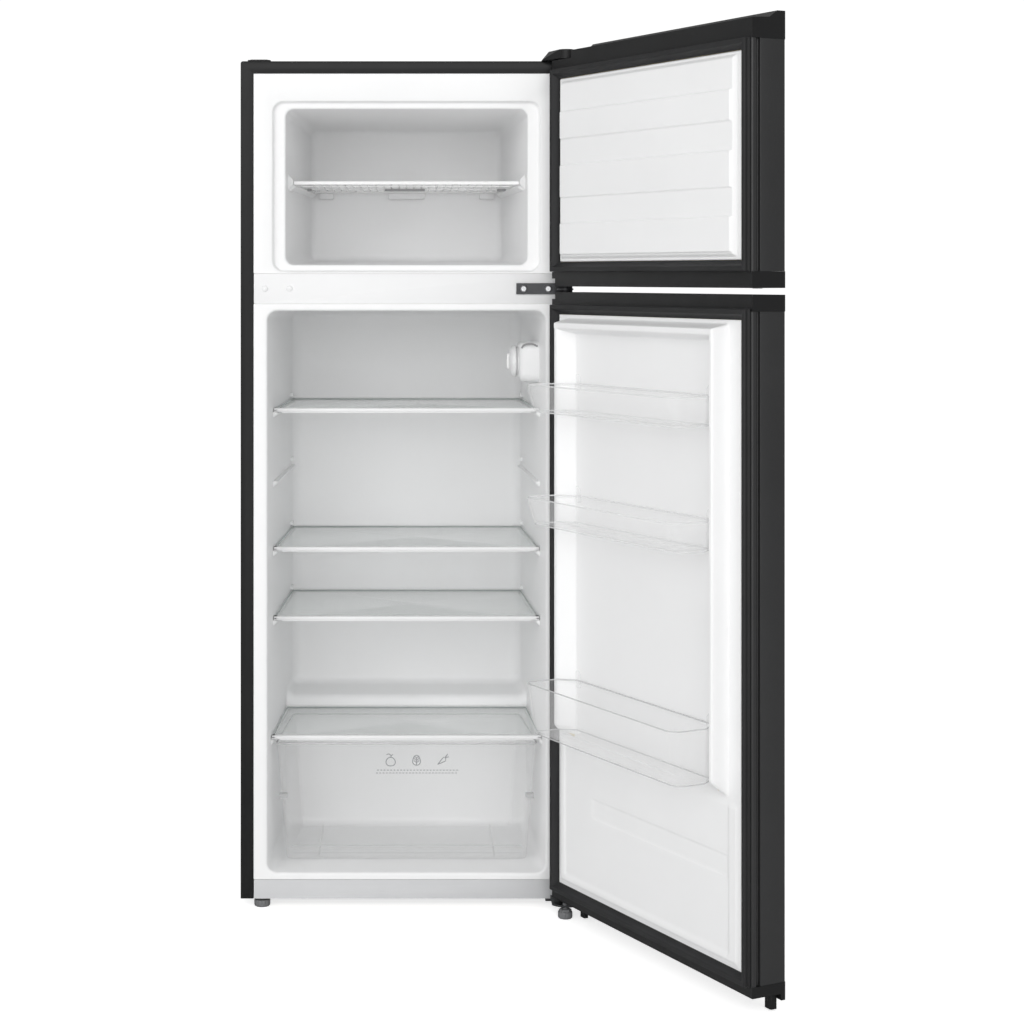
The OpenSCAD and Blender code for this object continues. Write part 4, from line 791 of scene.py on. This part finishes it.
foot_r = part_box("right_foot")
right_x = ((foot_r[0].x + foot_r[1].x) / 2 - CENTRE_X) / MM
right_y = ((foot_r[0].y + foot_r[1].y) / 2 - FRONT_Y) / MM
piece("left_levelling_foot", ribbed_foot(-242, 13.5, 13.5, 31.5), "foot", "foot_left",
        ["left_foot"])
piece("right_levelling_foot", ribbed_foot(right_x, right_y, 12, 25.2, 10.5), "foot", "foot_right",
      ["right_foot"])
feet = []
for x in (-235, 235):
    feet.append(lathe([(11, 0), (12.6, 0.4), (14, 2.4), (14, FLOOR - 0.3), (4, FLOOR - 0.2),
                       (4, 23)], (x, 462, 0)))
    feet += [lathe([(14.5, h), (14.7, h + 0.5), (14.5, h + 1.0), (13.6, h + 1.0), (13.6, h)],
                   (x, 462, 0)) for h in (4, 7, 10)]
piece("rear_feet_discs", join(*feet), "cap", "cabinet", ["rear_feet"])
for tag in ("top", "middle", "bottom"):
    keep(f"{tag}_hinge", "dark_steel", 0.4)
keep("top_hinge_cover", "cap", 1.2, 3)
keep("top_hole_cover", "cap", 0.8, 3)
keep("hinge_screws", "screw", 0.12, 1)
for tag in ("freezer", "fridge"):
    keep(f"{tag}_door_bushes", "trim", 0.3)

# ---- machine space and back
keep("insulation", "foam")
keep("bottom_panel", "zinc", 0.2)
keep("compressor_tray", "zinc", 0.3)
keep("evaporator", "plate", 0.15, 1)
keep("condenser_coil", "copper")


def back():
    parts = [block((-262.3, DEPTH - 2.4, 278), (262.3, DEPTH - 1.4, 1412))]
    for i in range(5):
        x = (i - 2) * 100
        outline = rect(x - 9, 333, x + 9, 1344, 8.6, 6)
        parts.append(prism(outline, DEPTH - 1.6, DEPTH + 1.2, "y", 1.3))
    # cross beads above and below
    for z in (306, 1376):
        parts.append(prism(rect(-236, z - 5, 236, z + 5, 4.8), DEPTH - 1.6, DEPTH + 0.4, "y", 1.2))
    piece("rear_sheet", join(*parts), "enamel", "cabinet",
          ["rear_panel"], sharp=50)
    # the machine space's roof turns up behind the foam as far as the sheet
    piece("roof_flange", block((-262, DEPTH - 2.8, 262), (262, DEPTH - 1.6, 279)), "enamel",
            "cabinet")
    screws = []
    for x in (-254, 0, 254):
        for z in (290, 640, 1020, 1398):
            if x == 0 and z in (640, 1020):
                continue
            screws.append(lathe([(0.01, 2.2), (2.2, 2.0), (3.7, 1.0), (4.0, 0), (4.0, -0.6)],
                    (x, DEPTH - 1.2, z), "y", 1, 24))
            for w, h in ((2.2, 0.45), (0.45, 2.2)):
                screws.append(block((x - w, DEPTH + 0.6, z - h), (x + w, DEPTH + 1.25, z + h)))
    piece("rear_sheet_screws", join(*screws), "screw", "cabinet")


back()


def machine():
    x0, y0, base = 95.0, 417.0, 33.0
    shell_profile = [(0.01, 4), (38, 4), (45, 6.5), (51, 12), (55, 19), (56, 26), (56, 74.4),
            (57, 75), (59, 75.4), (59, 79.4), (57, 80.4), (56, 81), (56, 104), (54.4, 113),
            (50, 122), (43, 129.4), (34, 134), (20, 137.6), (0.01, 140)]
    parts = [lathe(shell_profile, (x0, y0, base), n=96)]
    # welded seam and feet plates
    radii = [57.6 + 0.35 * math.sin(k * 1.7) for k in range(90)]
    seam = [(x0 + q * c, y0 + q * s, base + 81.3) for q, (c, s) in zip(radii, circle(90))]
    parts.append(tube(seam, 1.1, 6, closed=True))
    for s in (-1, 1):
        x = x0 + s * 74
        parts.append(prism(rect(x - 11, y0 - 54, x + 11, y0 + 54, 9), base, base + 3, edge=0.8))
        parts.append(prism(rect(x - 5.5, y0 - 30, x + 5.5, y0 + 30, 5),
                           base + 2.6, base + 5, edge=1.2))
        lo, hi = sorted((x0 + s * 34, x0 + s * 76))
        parts.append(block((lo, y0 - 16, base), (hi, y0 + 16, base + 5.6)))
    for dx, dy, h in ((20, 51.4, 42), (58.4, 0, 92), (-30, 49.6, 50)):
        parts.append(lathe([(0.01, -3), (5, -3), (5, 1.6), (4.2, 2.4), (0.01, 2.4)],
                (x0 + dx * 0.985, y0 + dy * 0.985, base + h), "y" if dy else "x", n=24))
    piece("compressor_shell", join(*parts), "compressor", "cabinet",
            ["compressor"], bevel=0.3)
    mounts = []
    for sx in (-1, 1):
        for sy in (-1, 1):
            mounts.append(lathe([(3.2, 0), (10.4, 0), (11, 0.8), (11, 3.6), (9.6, 4.6), (11, 5.6),
                    (11, 8.4), (9, 15.8), (5.2, 15.8), (5.2, 19.2), (7.6, 19.2), (8, 20), (7.4, 24),
                    (3.2, 24)], (x0 + sx * 74, y0 + sy * 42, 17), n=40))
    piece("compressor_grommets", join(*mounts), "rubber", "cabinet",
            ["compressor_mounts"])
    bx, bz = x0 - 85, 75.0
    box = [prism(rect(y0 - 22, bz, y0 + 22, bz + 46, 4), bx, bx + 24, "x", 1.2),
           prism(rect(y0 - 16, bz + 45, y0 + 16, bz + 50, 1.6), bx + 4, bx + 18, "x", 0.6),
           prism(rect(y0 - 8, bz + 8, y0 + 8, bz + 24, 2), bx + 23, bx + 28.5, "x", 0.4)]
    for k in range(5):
        box.append(prism(rect(y0 - 15, bz + 8 + k * 7, y0 + 15, bz + 10.4 + k * 7, 1.1), bx - 0.8,
                bx + 0.4, "x", 0.3))
    piece("relay_cover", join(*box), "cap", "cabinet", ["relay_box"])
    z = 173.3

    def tray(off, h):
        return [(x, y, h) for x, y in rect(x0 - 78 + off, y0 - 60 + off, x0 + 78 - off,
                                           y0 + 58 - off, max(9 - off, 3))]
    piece("defrost_tray", loft([tray(3, z), tray(1, z + 0.5), tray(0, z + 3), tray(0, z + 24),
            tray(-0.6, z + 25.4), tray(0.4, z + 26), tray(2, z + 26), tray(2.2, z + 4),
            tray(4.5, z + 2)]), "cap", "cabinet", ["drip_tray"])
    dz, dy = 75.0, 462.0
    drier = lathe([(0.01, 0), (2.6, 0), (2.6, 7), (3.4, 9), (6.6, 13), (9, 17), (9, 82), (7, 87),
            (3.4, 91.6), (2.6, 94), (2.6, 104), (0.01, 104)], (-70, dy, dz), "x", 1, 36)
    piece("drier_can", drier, "copper", "cabinet", ["filter_drier"])
    x1, y1 = x0 + 20, y0 + 63
    runs = [tube([(x1, y0 + 55.2, 75), (x1, y1, 75), (x1, y1, 49), (-250, y1, 49),
                  (-250, y1, 257)], 2.6, 14, bend=14),
            tube([(x0 + 59.4, y0, 125), (x0 + 130, y0, 125), (x0 + 130, y0, 257)], 3.2, 14, bend=18),
            tube([(-72.6, dy, 75), (-120, dy, 75), (-120, dy, 258)], 2.4, 14, bend=14),
            tube([(-200, dy + 10, 258), (-200, dy + 10, 145), (38, dy + 10, 145), (38, dy, 75)],
                 2.4, 14, bend=16),
            tube([(38, dy, 76), (38, dy, 75), (34, dy, 75)], 2.4, 14)]
    piece("copper_lines", join(*runs), "copper", "cabinet", ["refrigerant_pipes"])
    gland = lathe([(3.5, -6), (6.8, -6), (6.8, 0), (11, 0), (11, 2.4), (10.4, 3), (8.6, 3.4),
            (8.2, 4.2), (7.8, 4.2), (7.8, 5.0), (7.4, 5.0), (7.4, 6.0), (7.0, 6.0), (6.8, 8),
            (3.5, 8)], (-180, DEPTH - 2.8, 30), "y", 1, 40)
    verts, faces = gland
    faces = faces[:-2]
    n = 40
    last = len(verts) - n
    faces += [(j, (j + 1) % n, last + (j + 1) % n, last + j) for j in range(n)]
    piece("lead_gland", (verts, faces), "rubber", "cabinet", ["power_inlet"])


machine()


# ---- doors
def door_skin(tag, z0, z1):
    """Folded sheet of a door, seen as a plan and pushed up."""
    w, t, r = WIDTH, DOOR_T, 3
    outer = [(26.5, -1.4), (26.5, 0), (2.2, 0), (0.8, -0.5), (0, -2.2), (0, -6.2)]
    outer += [(r - r * c, -t + r - r * s) for c, s in quarter(6)]
    outer += [(w - r + r * s, -t + r - r * c) for c, s in quarter(6)]
    outer += [(w, -15.6), (w - 0.5, -14.8), (w - 5.2, -14.2), (w - 5.7, -13.4), (w - 5.7, -9.6),
            (w - 5.2, -8.8), (w - 0.9, -8.2), (w, -7.2), (w + 0.2, -4.4), (w - 0.1, -1.8),
            (w - 1.0, -0.5), (w - 2.2, 0), (w - 26.5, 0), (w - 26.5, -1.4)]
    inner = [(w - 2.6, -1.4), (w - 1.4, -2.6), (w - 1.3, -6.6), (w - 6.6, -7.6), (w - 7.1, -9),
            (w - 7.1, -14), (w - 6.6, -15.2), (w - 1.4, -16.4), (w - 1.4, -t + 3),
            (w - 3, -t + 1.4), (3, -t + 1.4), (1.4, -t + 3), (1.4, -3), (2.4, -1.4)]
    loop = outer + inner
    piece(f"{tag}_door_skin", loft([[(u, p, z) for u, p in loop] for z in (z0, z1)]), "door",
          f"{tag}_door", [f"{tag}_door_panel"], door, sharp=50)


def door_seal(tag, lo, hi):
    """Magnetic gasket: foot, bellows and magnet strip swept round the door."""
    out, near, far = 16.6, 8.5, WIDTH - 3.0
    profile = [(0.4, 0.3), (0, 0.8), (0, 2.5), (0.6, 3.0), (1.6, 3.6), (2.2, 4.6), (1.2, 5.6),
            (0.7, 6.6), (0.6, 9.8), (1.2, 10.9), (2.2, 11.3), (4.4, 11.0), (5.6, 11.0), (7.2, 11.1),
            (8.2, 10.4), (9.0, 8.6), (10.4, 6.2), (12.2, 4.2), (14.0, 3.0), (16.2, 2.6)]
    foot = (1.0, 2.2), (1.0, 0.3)
    rings = []
    for q, p in profile + [(None, k) for k in foot]:
        if q is None:       # the foot's edge lies against the liner's rim
            back, p = p
            edges = (RIM_NEAR - back, lo - back, RIM_FAR + back, hi + back)
        else:
            edges = (near + q, lo - out + q, far - q, hi + out - q)
        rings.append([(u, p, z) for u, z in rect(*edges, 0.5, 3)])
    piece(f"{tag}_door_seal", loft(rings, loop=True, caps=(False, False)), "gasket", f"{tag}_door",
          [f"{tag}_door_gasket"], door, sharp=60)


def inside_distance(u, z, lo, hi, r):
    """Distance inward from a liner's rim, which has round corners."""
    qu = abs(u - (RIM_NEAR + RIM_FAR) / 2) - (RIM_FAR - RIM_NEAR) / 2 + r
    qz = abs(z - (lo + hi) / 2) - (hi - lo) / 2 + r
    return r - (math.hypot(max(qu, 0), max(qz, 0)) + min(max(qu, qz), 0))


def spaced(stops):
    """Values from a list of (end, step) pairs."""
    out = [stops[0][0]]
    for (a, _), (b, step) in zip(stops, stops[1:]):
        n = max(1, round((b - a) / step))
        out += [a + (b - a) * k / n for k in range(1, n + 1)]
    return out


def field(name, us, zs, height, tag, nodes):
    """Formed sheet whose height over the door's plane is height(u, z), with a turned-down rim."""
    n = len(zs)
    verts = [(u, height(u, z), z) for u in us for z in zs]
    faces = [(i * n + j, i * n + j + 1, (i + 1) * n + j + 1, (i + 1) * n + j)
             for i in range(len(us) - 1) for j in range(n - 1)]
    edge = ([(i, 0) for i in range(len(us))] + [(len(us) - 1, j) for j in range(1, n)]
            + [(i, n - 1) for i in reversed(range(len(us) - 1))]
            + [(0, j) for j in reversed(range(1, n - 1))])
    base = len(verts)
    verts += [(us[i], 0.2, zs[j]) for i, j in edge]
    m = len(edge)
    for k in range(m):
        a, b = edge[k], edge[(k + 1) % m]
        faces.append((a[0] * n + a[1], base + k, base + (k + 1) % m, b[0] * n + b[1]))
    return piece(name, (verts, faces), "liner", f"{tag}_door",
                 nodes, door, sharp=60)


def freezer_inner():
    lo, hi = FREEZER_RIM
    bands = ((1089, 1143), (1183, 1238), (1279, 1326))

    def height(u, z):
        rim = inside_distance(u, z, lo, hi, 2)
        d = min(inside_distance(u, z, lo, hi, 14), WIDTH - 28 - u)
        p = 0.5 + 1.8 * math.sqrt(min(max(rim, 0.0) / 1.8, 1)) + 5.0 * ease(3.6, 10.5, d)
        raised = sum(ease(a - 0.5, a + 2.6, z) - ease(b - 2.6, b + 0.5, z) for a, b in bands)
        return p + 3.1 * raised * ease(10, 13.5, d)
    us = spaced([(28, 0), (30, 0.5), (46, 1.0), (60, 4),
                 (495, 29), (509, 4), (531, 1.0), (533, 0.5)])
    zs = spaced([(1079, 0), (1081, 0.5), (1095, 1.0), (1138, 12), (1145, 0.7), (1180, 11),
            (1187, 0.7), (1233, 12), (1240, 0.7), (1276, 12), (1283, 0.7), (1321, 12), (1328, 0.7),
            (1362, 8), (1378, 1.0), (1380, 0.5)])
    field("freezer_door_inner", us, zs, height, "freezer", ["freezer_door_liner"])


def fridge_inner():
    lo, hi = FRIDGE_RIM

    def soft_max(a, b, k=3.0):
        h = max(k - abs(a - b), 0) / k
        return max(a, b) + h * h * k / 4

    def height(u, z):
        d = inside_distance(u, z, lo, hi, 3)
        v = min(u, WIDTH - u)
        p = 0.5 + 1.8 * math.sqrt(min(max(d, 0.0) / 1.8, 1))
        side = 28.4 * ease(50.5, 57, v) * (1 - ease(61.5, 85, v))
        # the free side's dyke runs out into the rim lower down than the hinge side's
        side *= ease(299, 328, z) * (1 - ease(978.5, 988, z))
        across = 28.4 * ease(960.5, 972, z) * (1 - ease(978.5, 988, z)) * ease(50.5, 57, v)
        low = 1 - ease(288, 300, z)
        bed = 2.2 * low * ease(6, 11, d)
        groove = 2.2 * (ease(186, 190, z) - ease(216, 220, z))
        groove *= ease(128, 140, u) * (1 - ease(500, 503, u))
        edge = (1 - ease(46, 53, v)) * ease(2.5, 6, d) + (1 - ease(72, 82, z)) * ease(2.5, 6, d)
        return soft_max(p + bed - groove * low + 1.8 * min(edge, 1) * low,
                        soft_max(side, across) + 2.0)
    half = [(28, 0), (30, 0.5), (39, 1.0), (45, 3), (86, 1.15), (100, 4.7), (140, 4)]
    us = spaced(half + [(455, 35), (469, 4.7), (510, 1.15), (516, 3), (531, 1.0), (533, 0.5)])
    zs = spaced([(58.5, 0), (60.5, 0.5), (84, 1.5), (184, 25), (192, 1), (214, 7), (222, 1),
            (286, 16), (330, 1.6), (955, 40), (990.5, 1.2), (992.5, 0.5)])
    field("fridge_door_inner", us, zs, height, "fridge", ["fridge_door_liner"])
    parts = []
    for z in (320, 656, 837):
        for side in (0, 1):
            def at(u):
                return WIDTH - u if side else u
            lo_u, hi_u = sorted((at(72), at(93)))
            parts.append(prism(fillet([(lo_u, 1.8), (hi_u, 1.8), (hi_u, 14), (lo_u, 16)],
                    [0.5, 0.5, 3, 3], 4), z - 5, z - 0.6, edge=0.7))
    piece("bin_rests", join(*parts), "liner", "fridge_door", space=door)


def bin_ring(off, draw, z):
    """Plan of a door bin: it widens from the liner's wall to the dykes' tops."""
    reach = 92 - draw - off
    lo = 66 + off + draw / 3
    pts = [(lo, 31.5), (lo, reach), (WIDTH - lo, reach), (WIDTH - lo, 31.5),
           (WIDTH - 88 - off, 5 + off), (88 + off, 5 + off)]
    return [(u, p, z) for u, p in fillet(pts, [9, 16, 16, 9, 4, 4], 6)]


def door_bin(tag, rim, depth):
    lo = rim - depth
    body = f"door_bin_{tag}"

    def at(t, off):
        return bin_ring(off, 10 * (1 - t), lerp(lo, rim - 12, t))
    rings = [bin_ring(7, 10, lo), bin_ring(3, 10, lo + 0.3), bin_ring(0.9, 10, lo + 1.6),
            at(0.12, 0), at(0.55, 0), at(1, 0), bin_ring(-0.6, 0, rim - 8.5),
            bin_ring(-0.6, 0, rim - 1.4), bin_ring(0, 0, rim - 0.3), bin_ring(1.1, 0, rim),
            bin_ring(2.2, 0, rim - 0.5), bin_ring(2.5, 0, rim - 2.5), at(1, 2.5), at(0.55, 2.5),
            at(0.16, 2.5), bin_ring(4.2, 10, lo + 2.9), bin_ring(9, 10, lo + 2.5)]
    parts = [loft(rings)]
    # ears at the back corners, and a rib across the floor
    for side in (0, 1):
        def m(u):
            return WIDTH - u if side else u
        outline = [(m(88.5), rim - 12), (m(100), rim - 12), (m(100), rim + 9), (m(94), rim + 15.5),
                   (m(88.5), rim + 15.5)]
        parts.append(prism(fillet(outline, [1, 2, 3, 5, 2.5], 5), 5.2, 9, "y", 0.7))
    parts.append(prism(rect(110, lo + 2.2, WIDTH - 110, lo + 4.4, 1), 44, 46, "y", 0.4))
    piece(f"{tag}_bin_shell", join(*parts), "clear", body,
          [f"bin_{tag}"], door, sharp=32)
    # the lower bin's rim lines are grey, painting the dark edge lines of clear plastic as shade
    line = bin_ring(0.7, 0, rim - 0.9)
    foot = bin_ring(1.6, 10, lo + 1.0)
    piece(f"{tag}_bin_rim", join(tube(line, 1.05, 8, closed=True), tube(foot, 0.9, 8, closed=True)),
          "rim_painted_shade" if tag == "lower" else "bin_rim", body, space=door)


for tag, z0, z1 in (("freezer", 1062.7, 1395.9), ("fridge", 42.1, 1004.9)):
    door_skin(tag, z0, z1)
    for end in ("top", "bottom"):
        keep(f"{tag}_door_{end}_cap", "cap", 1.0, 3)
    keep(f"{tag}_door_foam", "foam")
door_seal("freezer", *FREEZER_RIM)
door_seal("fridge", *FRIDGE_RIM)
freezer_inner()
fridge_inner()
keep("fridge_door_stops", "cap", 0.8, 3)
door_bin("upper", 882, 45)
door_bin("middle", 701, 45)
door_bin("lower", 402, 82)


# ---- stage, light, camera
def seen_only(tree, lit, seen):
    """Mixes two shaders: one for what the camera sees, the other for all other light."""
    path = tree.nodes.new("ShaderNodeLightPath")
    mix = tree.nodes.new("ShaderNodeMixShader")
    tree.links.new(path.outputs["Is Camera Ray"], mix.inputs["Fac"])
    tree.links.new(lit, mix.inputs[1])
    tree.links.new(seen, mix.inputs[2])
    return mix.outputs["Shader"]


def stage():
    me = bpy.data.meshes.new("floor")
    s = 120.0
    me.from_pydata([(-s, -s, 0), (s, -s, 0), (s, s, 0), (-s, s, 0)], [], [(0, 1, 2, 3)])
    m = material("pale_floor", (0.80, 0.80, 0.80), 0.7, (60, 0.02, 0.001), tone=0.003, spec=0.1)
    tree = m.node_tree
    out, plain = tree.nodes["Material Output"], tree.nodes["Principled BSDF"].outputs[0]
    glow, both = tree.nodes.new("ShaderNodeEmission"), tree.nodes.new("ShaderNodeAddShader")
    glow.inputs["Strength"].default_value = 0.70
    tree.links.new(plain, both.inputs[0])
    tree.links.new(glow.outputs[0], both.inputs[1])
    tree.links.new(seen_only(tree, plain, both.outputs[0]), out.inputs["Surface"])
    me.materials.append(m)
    o = add("floor", me)


stage()


def light(name, place, aim, size, power):
    data = bpy.data.lights.new(name, "AREA")
    data.shape, data.size, data.size_y, data.energy = "RECTANGLE", size[0], size[1], power
    o = add(name, data)
    o.location = place
    o.rotation_euler = (Vector(aim) - Vector(place)).to_track_quat("-Z", "Y").to_euler()


light("front_soft", (-0.5, -4.8, 2.6), (0, 0, 0.8), (5.0, 2.6), 103)
light("left_soft", (-3.4, -3.2, 1.5), (0.1, -0.2, 0.7), (1.6, 2.4), 27)
light("low_soft", (0.0, -4.0, 0.5), (0, 0, 0.6), (3.4, 0.8), 14)
world = bpy.data.worlds.new("studio")
world.use_nodes = True
sky = world.node_tree
plain, white = sky.nodes["Background"], sky.nodes.new("ShaderNodeBackground")
for shade, strength in ((plain, 0.50), (white, 1.05)):
    shade.inputs["Color"].default_value = (1, 1, 1, 1)
    shade.inputs["Strength"].default_value = strength
sky.links.new(seen_only(sky, plain.outputs[0], white.outputs[0]),
        sky.nodes["World Output"].inputs["Surface"])
scene = bpy.context.scene
scene.cycles.transparent_max_bounces = 32       # a look through drawer, bins and shelves
scene.world = world
scene.view_settings.view_transform = "Standard"
scene.view_settings.look = "None"

CAMERA_Y, CAMERA_Z = -3530.2, 1056.5
data = bpy.data.cameras.new("camera")
data.sensor_width, data.lens = 36.0, 74.24
data.shift_x, data.shift_y = 0.1030, -0.2309
data.clip_start, data.clip_end = 0.05, 60
camera = add("camera", data)
camera.location = cab(0, CAMERA_Y, CAMERA_Z)
camera.rotation_euler = (math.radians(90), 0, 0)
bpy.context.scene.camera = camera
